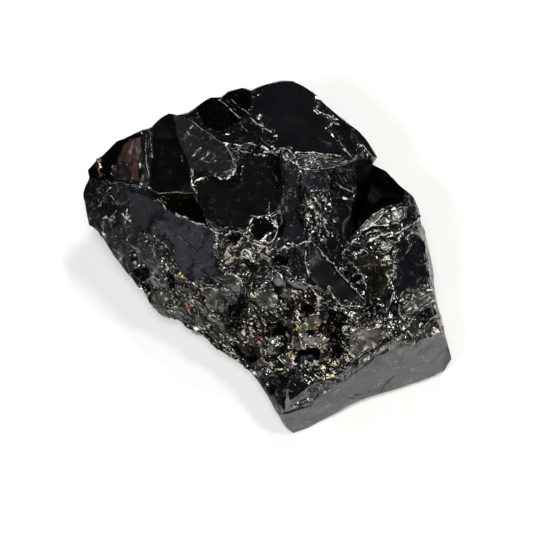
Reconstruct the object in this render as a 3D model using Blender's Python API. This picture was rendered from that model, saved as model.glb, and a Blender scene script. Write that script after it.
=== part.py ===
"""A shungite nugget: one broken lump of the glassy black stone, lying on its flattest break.

The side that faces up is a landscape of breaks. It is laid out in millimetres across, up and
out of the face, as the rim that bounds it and the creases where breaks meet. The lump is that
landscape drawn back through the stone, with its hidden sides broken away and a flat bed under
it. At the end every break is chipped, the crumbly ones most.
"""

from math import cos, pi, radians, sin

import bmesh
import bpy
from mathutils import Matrix, Vector, noise
from mathutils.geometry import delaunay_2d_cdt

MM = 0.001
LEAN = radians(60)  # the face looks up at this angle above the ground
OUTWARD = Vector((0, -cos(LEAN), sin(LEAN)))
UPWARD = Vector((0, sin(LEAN), cos(LEAN)))
DEPTH = 60.0  # how far back the landscape is drawn before the hidden breaks cut it

# The hidden breaks, each just clear of the landscape: the way it faces round from +X, its
# tilt above level, both in degrees, and how far it stands off in millimetres.
HIDDEN_BREAKS = (
    (88, 8, 0.3), (62, -9, 0.5), (118, -4, 0.4), (30, -14, 0.2), (148, -22, 0.2), (3, -24, 0.1),
    (176, -38, 0.1), (212, -50, 0.1), (240, -42, 0.1), (262, -58, 0.3), (292, -62, 0.4),
    (335, -46, 0.1), (96, -34, 3.4), (50, -42, 3.0), (18, -56, 1.6), (138, -56, 2.4),
)

# Chipping, in millimetres: how deep the chips go on a clean break and on a crumbly one, how
# wide they are there, and the longest edge that the mesh keeps there.
CLEAN = {"deep": 0.4, "wide": 5.0, "edge": 2.4}
CRUMBLY = {"deep": 1.0, "wide": 2.2, "edge": 1.2}
HIDDEN_CRUMBLINESS = 0.35  # the hidden sides all round, on the same scale from 0 to 1
CHIP_SPREAD = 61.0  # sets neighbouring chips' tilts apart
HALVINGS = 5
FADE = 2.5  # a crumbly patch fades out over this width
BED_EDGE = 2.0  # the chipping fades out over this height above the bed
ON_BED = 0.001  # what lies lower than this is the bed

# The crumbly patches of the face: across, up and radius.
CRUMBLY_PATCHES = {
    "crinkled middle": (-3.2, 0.6, 3.4),
    "grainy side": (-9.5, -8.0, 4.5),
    "grainy side's far end": (-4.5, -11.0, 3.5),
    "ledges": (6.0, -10.5, 5.5),
    "right ledges": (13.5, -9.0, 3.0),
    "shattered steps": (15.5, 4.2, 3.2),
    "pitted column": (6.8, 5.2, 2.4),
    "striped ridge": (-3.0, 18.4, 3.0),
    "left end's pits": (-17.2, -1.0, 2.6),
    "dark strip": (-15.4, 13.0, 2.0),
}

# The rim, clockwise from its left end: across, up, out.
RIM = (
    (-24.5, 8.5, 7.8), (-24.0, 9.6, 7.7), (-23.5, 10.4, 7.9), (-23.8, 11.4, 7.4),
    (-22.4, 13.0, 7.2), (-21.4, 13.8, 7.2), (-20.4, 15.0, 7.1), (-18.4, 16.0, 7.2),
    (-16.6, 16.9, 7.3), (-15.4, 17.2, 7.7), (-14.2, 18.4, 7.6), (-13.0, 19.1, 7.7),
    (-11.8, 18.9, 8.4), (-10.4, 19.2, 8.3), (-9.2, 20.0, 8.0), (-8.4, 20.6, 7.9),
    (-7.4, 21.2, 7.7), (-6.0, 21.2, 8.2), (-5.2, 22.0, 7.8), (-3.2, 22.5, 7.8),
    (-2.0, 22.2, 8.4), (-0.2, 22.9, 8.2), (2.0, 23.4, 8.0), (3.6, 23.4, 8.0),
    (5.0, 22.6, 8.4), (7.0, 21.2, 9.8), (8.4, 19.8, 10.2), (10.4, 18.0, 10.1),
    (12.2, 16.8, 9.8), (13.4, 15.6, 9.8), (14.2, 14.2, 10.0), (14.9, 13.2, 10.2),
    (14.2, 12.2, 10.0), (16.0, 11.3, 10.9), (18.0, 9.2, 11.9), (19.4, 8.1, 12.2),
    (20.2, 6.3, 12.6), (20.7, 4.3, 12.8), (21.4, 2.2, 12.8), (21.9, 0.0, 12.9),
    (22.3, -2.4, 13.2), (22.5, -5.0, 13.5), (23.0, -7.4, 13.8), (23.7, -9.6, 14.6),
    (24.2, -11.6, 14.2), (24.7, -13.8, 12.7), (23.6, -15.2, 11.8), (21.6, -16.2, 11.9),
    (18.4, -17.4, 12.5), (14.6, -18.4, 13.7), (12.0, -19.4, 14.2), (9.6, -20.7, 14.1),
    (7.2, -22.0, 14.1), (5.6, -22.9, 14.1), (3.7, -23.5, 14.6), (2.6, -22.7, 16.2),
    (1.6, -21.0, 16.3), (0.4, -19.0, 15.8), (-1.0, -16.8, 15.0), (-2.1, -15.2, 14.6),
    (-3.4, -14.2, 14.0), (-6.0, -12.6, 13.3), (-8.0, -11.0, 12.6), (-10.2, -9.8, 12.1),
    (-11.7, -8.5, 11.6), (-13.6, -8.0, 11.3), (-15.4, -6.2, 10.7), (-16.2, -5.0, 10.5),
    (-18.2, -2.8, 9.9), (-20.0, -0.4, 9.5), (-21.6, 2.2, 8.9), (-23.6, 4.2, 8.7),
    (-24.1, 6.2, 8.3),
)

# Where breaks meet: the edges that stand up and the grooves between them.
CREASES = {
    "crest": (
        (-5.7, 15.0, 15.8), (-3.2, 14.8, 16.6), (-1.4, 14.2, 17.4), (0.2, 14.1, 17.9),
        (2.0, 14.1, 18.2), (3.7, 13.7, 18.0), (7.0, 13.5, 17.0), (9.9, 13.1, 15.0),
        (12.0, 12.6, 12.6), (14.2, 12.2, 10.0),
    ),
    "roof's left edge": (
        (2.0, 14.1, 18.2), (2.2, 15.6, 15.9), (0.4, 17.1, 14.5), (-1.5, 18.4, 12.9),
        (-2.0, 20.4, 10.4), (-2.0, 22.2, 8.4),
    ),
    "roof's fold": ((2.2, 20.6, 11.2), (5.6, 18.2, 13.1), (9.4, 15.4, 13.2)),
    "roof's right edge": (
        (7.0, 21.2, 9.8), (6.4, 19.3, 11.4), (8.3, 17.3, 12.3), (9.4, 15.4, 13.2),
        (9.4, 14.2, 14.3), (9.9, 13.1, 15.0),
    ),
    "shoulder chip": ((9.4, 15.4, 13.2), (10.8, 16.6, 10.9), (12.2, 16.8, 9.8)),
    "shoulder facet": ((10.8, 16.6, 10.9), (12.3, 14.6, 11.2), (12.0, 12.6, 12.6)),
    "shoulder edge": ((12.3, 14.6, 11.2), (13.6, 14.7, 10.5), (14.0, 13.2, 11.2), (14.2, 12.2, 10.0)),
    "stripe ridge": ((-6.0, 21.2, 8.2), (-4.6, 20.0, 10.6), (-2.4, 18.0, 13.0), (2.2, 15.6, 15.9)),
    "black hollow": ((-8.4, 20.6, 7.9), (-7.0, 18.4, 9.8), (-5.9, 16.6, 12.2), (-3.9, 15.7, 14.2)),
    "tongue's far edge": (
        (-11.8, 18.9, 8.4), (-9.6, 17.2, 11.4), (-8.4, 16.3, 12.9), (-5.7, 15.0, 15.8),
    ),
    "tongue's lip": (
        (-10.3, 12.5, 14.1), (-8.2, 11.8, 16.0), (-6.4, 10.5, 18.2), (-5.0, 10.3, 19.0),
        (-4.2, 11.0, 19.2), (-4.4, 12.3, 18.3), (-5.3, 14.0, 16.7), (-5.7, 15.0, 15.8),
    ),
    "under the lip": (
        (-8.4, 10.9, 15.9), (-6.4, 9.8, 17.1), (-4.8, 9.6, 17.6), (-3.6, 10.5, 17.2),
        (-3.5, 12.4, 16.1), (-3.2, 14.8, 16.6),
    ),
    "window's left edge": ((-3.0, 10.4, 18.2), (-2.8, 12.0, 17.6), (-2.6, 13.7, 17.0)),
    "window's right edge": (
        (0.2, 14.1, 17.9), (0.4, 12.0, 18.7), (0.7, 10.0, 19.6), (1.2, 8.0, 20.6), (1.2, 6.0, 21.4),
    ),
    "groove": ((2.0, 14.1, 18.2), (1.7, 12.4, 16.8), (1.9, 10.4, 17.4), (2.3, 8.3, 18.5), (1.9, 6.0, 20.2)),
    "pillar's left edge": (
        (2.0, 14.1, 18.2), (2.4, 12.2, 18.4), (2.6, 10.4, 19.2), (3.0, 8.3, 20.2), (2.6, 6.0, 20.9),
        (1.6, 3.6, 21.7), (2.0, 0.6, 22.2),
    ),
    "pillar's right edge": (
        (3.7, 13.7, 18.0), (4.4, 11.6, 19.2), (4.3, 9.6, 20.2), (4.2, 8.0, 20.9), (4.4, 6.4, 21.7),
        (4.2, 5.0, 22.3), (4.9, 3.4, 23.4), (5.5, 1.8, 24.5),
    ),
    "crack": ((4.4, 11.6, 19.2), (4.7, 9.6, 19.1), (4.7, 8.0, 19.7), (4.9, 6.4, 20.6), (4.6, 5.0, 21.6)),
    "crack's right edge": (
        (4.4, 11.6, 19.2), (5.1, 9.8, 19.8), (5.2, 8.2, 20.5), (5.4, 6.4, 21.5), (5.1, 4.8, 22.6),
    ),
    "lens": ((4.4, 11.6, 19.2), (7.2, 11.3, 18.4), (9.8, 11.8, 16.2), (12.0, 12.6, 12.6)),
    "brown break": ((7.2, 11.3, 18.4), (8.4, 9.4, 18.6), (11.9, 9.8, 15.0)),
    "scoop's left edge": (
        (12.0, 12.6, 12.6), (11.9, 9.8, 15.0), (11.6, 7.6, 16.2), (10.8, 5.4, 18.2),
        (10.1, 3.2, 19.8), (10.3, 1.1, 20.8),
    ),
    "scoop's floor": (
        (14.2, 12.2, 10.0), (13.7, 9.5, 13.1), (13.4, 7.4, 14.2), (12.4, 5.0, 15.6),
        (11.2, 2.6, 17.8), (10.3, 1.1, 20.8),
    ),
    "first step's foot": (
        (11.2, 2.6, 17.8), (12.4, 3.5, 16.4), (14.0, 4.9, 15.8), (15.7, 6.1, 15.3), (18.2, 7.0, 14.2),
        (19.4, 8.1, 12.2),
    ),
    "first step's top": (
        (11.2, 2.6, 17.8), (12.8, 2.9, 17.1), (14.2, 4.0, 16.6), (15.9, 4.9, 16.3), (18.4, 5.7, 15.3),
        (20.2, 6.3, 12.6),
    ),
    "second step's foot": (
        (12.8, 2.9, 17.1), (13.2, 2.3, 17.1), (14.8, 3.2, 16.5), (16.6, 3.9, 16.1), (19.0, 4.6, 14.9),
        (20.7, 4.3, 12.8),
    ),
    "second step's top": (
        (13.2, 2.3, 17.1), (13.6, 1.5, 18.1), (15.2, 2.3, 17.5), (17.2, 3.1, 17.0), (19.6, 3.6, 15.3),
        (20.7, 4.3, 12.8),
    ),
    "arrow's right edge": (
        (5.5, 1.8, 24.5), (7.6, 0.0, 23.9), (9.2, -2.0, 23.3), (11.0, -4.2, 22.6), (12.9, -6.4, 21.9),
    ),
    "arrow's foot": (
        (5.5, 1.8, 24.5), (8.0, 0.2, 22.9), (9.7, -1.8, 22.3), (11.5, -4.0, 21.7), (12.9, -6.4, 21.9),
    ),
    "arrow's left edge": ((5.5, 1.8, 24.5), (5.3, -0.8, 24.0), (5.8, -2.5, 23.9)),
    "arrow's lower edge": (
        (5.8, -2.5, 23.9), (7.0, -4.0, 23.7), (8.5, -4.4, 23.3), (10.0, -6.2, 22.7), (12.9, -6.4, 21.9),
    ),
    "under the arrow": (
        (4.2, -2.9, 23.3), (6.4, -4.7, 22.9), (8.2, -5.5, 22.2), (9.4, -7.1, 21.0), (12.8, -7.3, 20.7),
    ),
    "crinkled ridge": ((2.0, 0.6, 22.2), (3.4, 1.2, 23.0), (5.5, 1.8, 24.5)),
    "window's sill": (
        (-6.9, 3.3, 18.9), (-5.0, 3.3, 20.1), (-3.0, 2.6, 20.9), (-1.0, 1.8, 21.6), (0.6, 1.0, 21.9),
        (2.0, 0.6, 22.2),
    ),
    "sill's vein": ((-1.6, 5.2, 21.0), (-2.4, 4.0, 21.0), (-3.0, 2.6, 20.9), (-4.6, 0.6, 19.9)),
    "middle break's left edge": (
        (-11.8, 18.9, 8.4), (-12.1, 15.6, 11.7), (-10.3, 12.5, 14.1), (-10.0, 10.2, 15.6),
        (-9.3, 8.4, 16.9), (-8.6, 6.6, 17.8), (-7.9, 4.8, 18.6), (-6.9, 3.3, 18.9),
    ),
    "wall's foot": (
        (-16.2, 9.7, 10.9), (-14.4, 8.3, 12.1), (-12.0, 8.3, 13.7), (-10.2, 8.2, 14.9), (-9.3, 8.4, 16.9),
    ),
    "pit's floor": ((-13.8, 7.3, 12.2), (-11.4, 6.2, 13.2), (-9.6, 5.4, 14.2), (-8.2, 4.6, 16.4)),
    "band's crest": (
        (-23.5, 10.4, 7.9), (-21.8, 10.2, 9.0), (-19.6, 9.4, 10.4), (-17.2, 8.4, 12.0), (-15.0, 7.4, 13.4),
        (-13.4, 6.4, 14.4), (-12.0, 5.5, 15.4), (-10.0, 4.8, 16.8), (-8.0, 3.9, 18.2), (-6.9, 3.3, 18.9),
    ),
    "band's lower edge": (
        (-19.8, 6.0, 9.9), (-18.4, 4.6, 10.8), (-16.0, 3.0, 12.3), (-14.0, 2.2, 13.6), (-12.2, -0.5, 14.7),
        (-11.2, -2.4, 15.2), (-9.4, -3.4, 16.4), (-6.5, -3.8, 18.2), (-3.4, -3.9, 19.2), (-2.0, -3.2, 19.8),
    ),
    "band's right edge": (
        (-6.9, 3.3, 18.9), (-6.2, 1.8, 19.2), (-6.0, 0.0, 19.2), (-6.1, -1.8, 18.9), (-3.4, -2.4, 19.7),
        (-2.0, -3.2, 19.8),
    ),
    "left end's edge": ((-19.6, 9.4, 10.4), (-19.9, 7.6, 9.9), (-19.8, 6.0, 9.9), (-21.6, 2.2, 8.9)),
    "rust break's edge": (
        (-21.4, 13.8, 7.2), (-20.4, 11.4, 9.2), (-18.6, 10.0, 10.4), (-16.9, 9.8, 10.8), (-16.2, 9.7, 10.9),
    ),
    "strip": ((-16.9, 9.8, 10.8), (-16.4, 13.0, 9.2), (-16.6, 16.9, 7.3)),
    "strip's right edge": ((-16.2, 9.7, 10.9), (-15.5, 12.5, 10.6), (-15.2, 15.6, 9.2), (-14.2, 18.4, 7.6)),
    "lower left hump": ((-19.8, 6.0, 9.9), (-17.4, 0.4, 10.9), (-14.6, -2.0, 12.8), (-11.2, -2.4, 15.2)),
    "lower left notch": ((-16.2, -5.0, 10.5), (-15.8, -3.4, 10.9), (-14.6, -2.0, 12.8)),
    "rough side": (
        (-12.4, -5.0, 13.0), (-9.2, -6.2, 14.8), (-9.4, -3.4, 16.4),
    ),
    "rough side's foot": ((-12.4, -5.0, 13.0), (-9.2, -8.4, 13.6), (-5.6, -9.8, 15.1), (-3.6, -11.8, 15.0)),
    "dark valley": ((-2.6, -4.0, 18.9), (-3.6, -5.4, 17.4), (-4.3, -6.9, 15.9), (-4.6, -8.4, 15.9)),
    "valley's left side": ((-9.2, -6.2, 14.8), (-5.6, -5.4, 17.6), (-5.6, -8.2, 16.2)),
    "valley's right side": ((-2.2, -4.9, 19.2), (-1.4, -7.5, 18.2), (-2.6, -8.6, 17.0), (-1.4, -10.6, 17.0)),
    "grey break": ((-2.2, -4.9, 19.2), (1.6, -4.3, 20.4), (1.9, -6.9, 19.8), (-1.4, -7.5, 18.2)),
    "gully": (
        (2.8, -7.4, 19.2), (2.3, -9.2, 18.4), (2.5, -11.4, 18.0), (2.3, -14.0, 17.4), (1.8, -16.2, 16.8),
    ),
    "upper block": (
        (3.7, -9.6, 21.0), (5.2, -7.7, 21.7), (7.6, -8.1, 21.9), (8.1, -9.4, 21.6), (3.7, -9.6, 21.0),
    ),
    "lower block": (
        (4.3, -10.9, 20.8), (7.9, -10.5, 21.4), (8.0, -12.0, 21.0), (4.6, -12.4, 20.4), (4.3, -10.9, 20.8),
    ),
    "between the blocks": ((3.6, -10.3, 19.6), (8.4, -9.9, 20.4)),
    "left of the blocks": ((3.3, -7.9, 20.4), (3.1, -10.4, 19.6), (3.4, -13.4, 18.8), (4.4, -15.2, 19.4)),
    "dark pit": (
        (8.8, -7.9, 19.6), (10.4, -8.0, 19.4), (10.2, -9.8, 18.9), (9.1, -10.8, 18.8), (9.2, -13.2, 19.2),
    ),
    "pit's right side": ((11.2, -8.0, 21.0), (11.0, -10.0, 21.4), (10.5, -12.2, 20.9), (10.0, -14.2, 20.0)),
    "grey ledge": ((11.0, -10.0, 21.4), (14.2, -9.3, 21.6), (16.2, -10.1, 21.0), (17.0, -11.4, 20.2)),
    "end's upper edge": (
        (2.5, -20.8, 18.2), (3.2, -19.2, 19.2), (6.3, -16.8, 20.0), (9.6, -16.1, 19.9), (11.2, -14.4, 20.5),
        (12.6, -13.1, 20.8), (15.0, -12.1, 20.7), (17.0, -11.4, 20.2), (19.5, -10.9, 19.3),
        (21.5, -10.4, 18.5), (23.3, -10.1, 17.4), (23.7, -9.6, 14.6),
    ),
    "end's crack": (
        (2.5, -20.8, 18.2), (5.4, -19.9, 17.7), (9.0, -17.8, 17.9), (10.3, -16.7, 18.3), (13.9, -14.4, 18.7),
        (15.6, -13.0, 19.3), (17.0, -11.4, 20.2),
    ),
    "end's left edge": ((2.5, -20.8, 18.2), (2.6, -22.7, 16.2)),
    "dark corner": (
        (2.5, -20.8, 18.2), (2.8, -17.4, 18.0), (1.8, -16.2, 16.8), (-0.6, -15.0, 16.0), (-2.1, -15.2, 14.6),
    ),
    "olive break's right edge": (
        (13.6, 1.5, 18.1), (16.9, 1.0, 18.2), (16.7, -0.8, 18.7), (17.1, -2.4, 19.0), (16.7, -4.4, 19.3),
        (16.4, -6.2, 19.6), (15.2, -8.0, 20.6),
    ),
    "slate break": (
        (16.9, 1.0, 18.2), (19.4, 2.2, 15.9), (20.9, 1.8, 14.8), (21.5, -0.8, 15.1), (21.6, -3.2, 15.6),
        (20.0, -4.7, 17.2), (18.0, -5.5, 18.4), (16.4, -6.2, 19.6),
    ),
    "slate break's foot": ((21.6, -3.2, 15.6), (22.3, -2.4, 13.2)),
    "right ledges": ((18.0, -5.5, 18.4), (18.2, -8.6, 18.9), (17.0, -11.4, 20.2)),
    "right ledge's edge": ((20.0, -4.7, 17.2), (20.8, -7.8, 17.0), (21.5, -10.4, 18.5)),
    "right corner": ((20.8, -7.8, 17.0), (22.4, -8.0, 15.6), (23.0, -7.4, 13.8)),
    "olive break": ((12.9, -6.4, 21.9), (13.2, -2.6, 21.0), (12.4, 0.4, 20.2), (10.3, 1.1, 20.8)),
    "olive break's top": ((12.4, 0.4, 20.2), (13.6, 1.5, 18.1)),
}

# Single spots that stand up or lie deep, away from the creases.
SPOTS = (
    (-22.4, 7.4, 9.0), (-21.4, 12.2, 8.4), (-8.6, 9.4, 16.6), (-4.4, 6.4, 19.2), (-0.6, 4.2, 21.3),
    (0.4, 3.0, 21.9), (-2.3, 0.5, 21.2), (-2.3, -1.3, 19.4), (-4.4, -1.4, 19.3), (-0.4, -2.4, 20.6),
    (0.4, -0.4, 21.6), (2.0, -0.9, 21.3), (3.2, -1.6, 23.0), (2.6, -3.2, 22.2), (0.0, -9.3, 17.8),
    (0.8, -11.6, 18.0), (0.0, -13.6, 16.8), (4.6, -5.4, 21.4), (5.8, -13.4, 18.9), (6.8, -14.8, 20.0),
    (7.2, 6.4, 20.9), (7.6, 3.0, 22.4), (14.8, -0.6, 19.4), (14.8, -3.4, 20.1), (14.6, -6.4, 20.8),
    (19.2, -1.4, 17.4), (12.9, -8.4, 21.2), (16.2, 8.4, 13.3), (-13.6, 13.0, 11.9), (-2.6, 16.8, 13.6),
    (-17.8, 13.2, 9.0), (-19.4, 1.8, 9.9), (-13.6, -6.4, 12.1), (-7.4, -9.2, 13.8), (-1.6, -13.4, 15.5),
    (0.9, -18.2, 16.6), (4.6, -17.8, 18.8), (21.6, -6.0, 15.6), (19.6, -6.6, 18.0), (2.6, -5.8, 20.6),
)




def landscape():
    """The face as a mesh of flat breaks: triangles between the rim and the creases."""
    points = list(RIM)
    edges = [(i, (i + 1) % len(RIM)) for i in range(len(RIM))]
    for line in CREASES.values():
        points += [point for point in line if point not in points]
        edges += [(points.index(a), points.index(b)) for a, b in zip(line, line[1:])]
    points += SPOTS
    flat = [Vector(point[:2]) for point in points]
    corners, _, faces, sources, _, _ = delaunay_2d_cdt(flat, edges, [], 1, 1e-4)
    if not all(sources):
        raise ValueError("two creases cross where they have no common point")
    mesh = bmesh.new()
    verts = [mesh.verts.new(points[source[0]]) for source in sources]
    for face in faces:
        mesh.faces.new([verts[corner] for corner in face])
    return mesh


def cut(mesh, point, facing):
    """Break the lump off flat where it passes the point, and close it with one flat face."""
    everything = mesh.verts[:] + mesh.edges[:] + mesh.faces[:]
    halves = bmesh.ops.bisect_plane(
        mesh, geom=everything, dist=1e-6, plane_co=point, plane_no=facing, clear_outer=True
    )
    rim = [item for item in halves["geom_cut"] if isinstance(item, bmesh.types.BMEdge)]
    if rim:
        bmesh.ops.contextual_create(mesh, geom=rim)


def lump():
    """The landscape drawn back through the stone, broken away behind and bedded flat below."""
    mesh = landscape()
    drawn = bmesh.ops.extrude_face_region(mesh, geom=mesh.faces[:])["geom"]
    back = [item for item in drawn if isinstance(item, bmesh.types.BMVert)]
    bmesh.ops.translate(mesh, verts=back, vec=(0, 0, -DEPTH))
    bmesh.ops.recalc_face_normals(mesh, faces=mesh.faces[:])
    lean = Matrix.Rotation(pi / 2 - LEAN, 3, "X")
    bmesh.ops.rotate(mesh, verts=mesh.verts[:], cent=(0, 0, 0), matrix=lean)
    face = [vert.co.copy() for vert in set(mesh.verts) - set(back)]
    for around, above, clear in HIDDEN_BREAKS:
        level = Vector((cos(radians(above)), 0, sin(radians(above))))
        facing = Matrix.Rotation(radians(around), 3, "Z") @ level
        reach = max(point.dot(facing) for point in face) + clear
        cut(mesh, facing * reach, facing)
    cut(mesh, Vector((0, 0, 0)), Vector((0, 0, -1)))
    bmesh.ops.dissolve_degenerate(mesh, dist=1e-4, edges=mesh.edges[:])
    bmesh.ops.triangulate(mesh, faces=mesh.faces[:])
    return mesh


def crumbliness(vert):
    """How crumbly the stone is at a vertex, from 0 on a clean break to 1 in a crumbly patch."""
    if vert.normal.dot(OUTWARD) < 0:
        return HIDDEN_CRUMBLINESS
    spot = Vector((vert.co.x, vert.co.dot(UPWARD)))
    nearest = min((spot - Vector((x, y))).length - radius for x, y, radius in CRUMBLY_PATCHES.values())
    return min(1.0, max(0.0, 1.0 - nearest / FADE))


def sized(name, vert):
    """One of the chipping sizes at a vertex, between a clean break's and a crumbly one's."""
    return CLEAN[name] + (CRUMBLY[name] - CLEAN[name]) * crumbliness(vert)


def refine(mesh):
    """Halve the edges that are too long for the chips around them, but not inside the bed."""
    for _ in range(HALVINGS):
        mesh.normal_update()
        long = [
            edge for edge in mesh.edges
            if edge.calc_length() > (sized("edge", edge.verts[0]) + sized("edge", edge.verts[1])) / 2
            and max(face.calc_center_median().z for face in edge.link_faces) > ON_BED
        ]
        bmesh.ops.subdivide_edges(mesh, edges=long, cuts=1)
        bmesh.ops.triangulate(mesh, faces=mesh.faces[:])


def chip(place, wide):
    """How far a place stands out or in: flat chips side by side, each with a tilt of its own."""
    middle = noise.voronoi(place / wide)[1][0]
    tilt = noise.cell_vector(middle * CHIP_SPREAD) - Vector((0.5, 0.5, 0.5))
    return (place / wide - middle).dot(tilt)


def roughen(mesh):
    """Chip the whole surface along its normals, and leave the bed flat."""
    mesh.normal_update()
    moves = []
    for vert in mesh.verts:
        above_bed = min(1.0, vert.co.z / BED_EDGE)
        deep = sized("deep", vert) * above_bed
        moves.append((vert, vert.normal * chip(vert.co, sized("wide", vert)) * deep))
    for vert, move in moves:
        vert.co += move


def black_stone():
    """The stone's glassy near-black finish."""
    material = bpy.data.materials.new("polished black stone")
    material.use_nodes = True
    shader = material.node_tree.nodes["Principled BSDF"]
    shader.inputs["Base Color"].default_value = (0.012, 0.012, 0.014, 1.0)
    shader.inputs["Roughness"].default_value = 0.25
    shader.inputs["IOR"].default_value = 2.0
    return material


def centre(mesh):
    """Move the stone sideways until the ground's zero point is below its bounding box's middle."""
    for axis in (0, 1):
        places = [vert.co[axis] for vert in mesh.verts]
        move = Vector((0, 0, 0))
        move[axis] = -(min(places) + max(places)) / 2
        bmesh.ops.translate(mesh, verts=mesh.verts[:], vec=move)


def nugget():
    """The whole stone as one object, in metres, its bed on the ground."""
    mesh = lump()
    refine(mesh)
    roughen(mesh)
    centre(mesh)
    bmesh.ops.scale(mesh, verts=mesh.verts[:], vec=(MM, MM, MM))
    data = bpy.data.meshes.new("nugget")
    mesh.to_mesh(data)
    mesh.free()
    data.materials.append(black_stone())
    return bpy.data.objects.new("nugget", data)


def main():
    for item in list(bpy.data.objects):
        bpy.data.objects.remove(item)
    home = bpy.data.collections.new("shungite nugget")
    bpy.context.scene.collection.children.link(home)
    home.objects.link(nugget())


main()
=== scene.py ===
from math import cos, pi, radians, sin

import bmesh
import bpy
import numpy as np
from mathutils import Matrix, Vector, noise


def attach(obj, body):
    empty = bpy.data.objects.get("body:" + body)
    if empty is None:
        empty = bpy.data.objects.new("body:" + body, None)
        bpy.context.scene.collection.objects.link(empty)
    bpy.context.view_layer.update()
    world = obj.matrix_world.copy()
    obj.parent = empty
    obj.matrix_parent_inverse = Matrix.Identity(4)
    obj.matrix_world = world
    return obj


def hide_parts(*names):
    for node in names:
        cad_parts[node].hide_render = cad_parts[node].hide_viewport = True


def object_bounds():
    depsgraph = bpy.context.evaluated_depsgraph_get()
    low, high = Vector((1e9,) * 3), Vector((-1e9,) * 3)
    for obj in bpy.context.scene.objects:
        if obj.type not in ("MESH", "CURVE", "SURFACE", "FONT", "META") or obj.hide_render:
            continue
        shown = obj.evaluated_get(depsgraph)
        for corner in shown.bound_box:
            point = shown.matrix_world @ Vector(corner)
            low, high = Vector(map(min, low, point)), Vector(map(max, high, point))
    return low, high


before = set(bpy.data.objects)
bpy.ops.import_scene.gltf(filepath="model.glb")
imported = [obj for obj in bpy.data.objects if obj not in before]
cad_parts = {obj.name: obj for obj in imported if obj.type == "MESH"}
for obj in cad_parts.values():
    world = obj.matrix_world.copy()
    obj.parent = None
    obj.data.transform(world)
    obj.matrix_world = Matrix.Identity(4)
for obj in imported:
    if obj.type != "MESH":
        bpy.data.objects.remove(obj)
cad_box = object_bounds()

# ---- The nugget -------------------------------------------------------------------------
# A natural lump of noble shungite, a glassy black stone that is nearly all carbon. It was
# struck out of its bed and left as it broke, with flat and shell-like breaks, crumbly patches
# and splintered ridges. Nothing holds it: it lies on its widest flat break.
MM = 0.001
LEAN = radians(60)  # the broken face looks up at this angle
OUTWARD = Vector((0, -cos(LEAN), sin(LEAN)))
TO_FACE = np.array(((1, 0, 0), (0, sin(LEAN), cos(LEAN)), tuple(OUTWARD)))
FACE_MIDDLE = np.array((-0.12, 5.12, 0.0))  # where across 0, up 0, out 0 is on the ground, in mm

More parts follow.
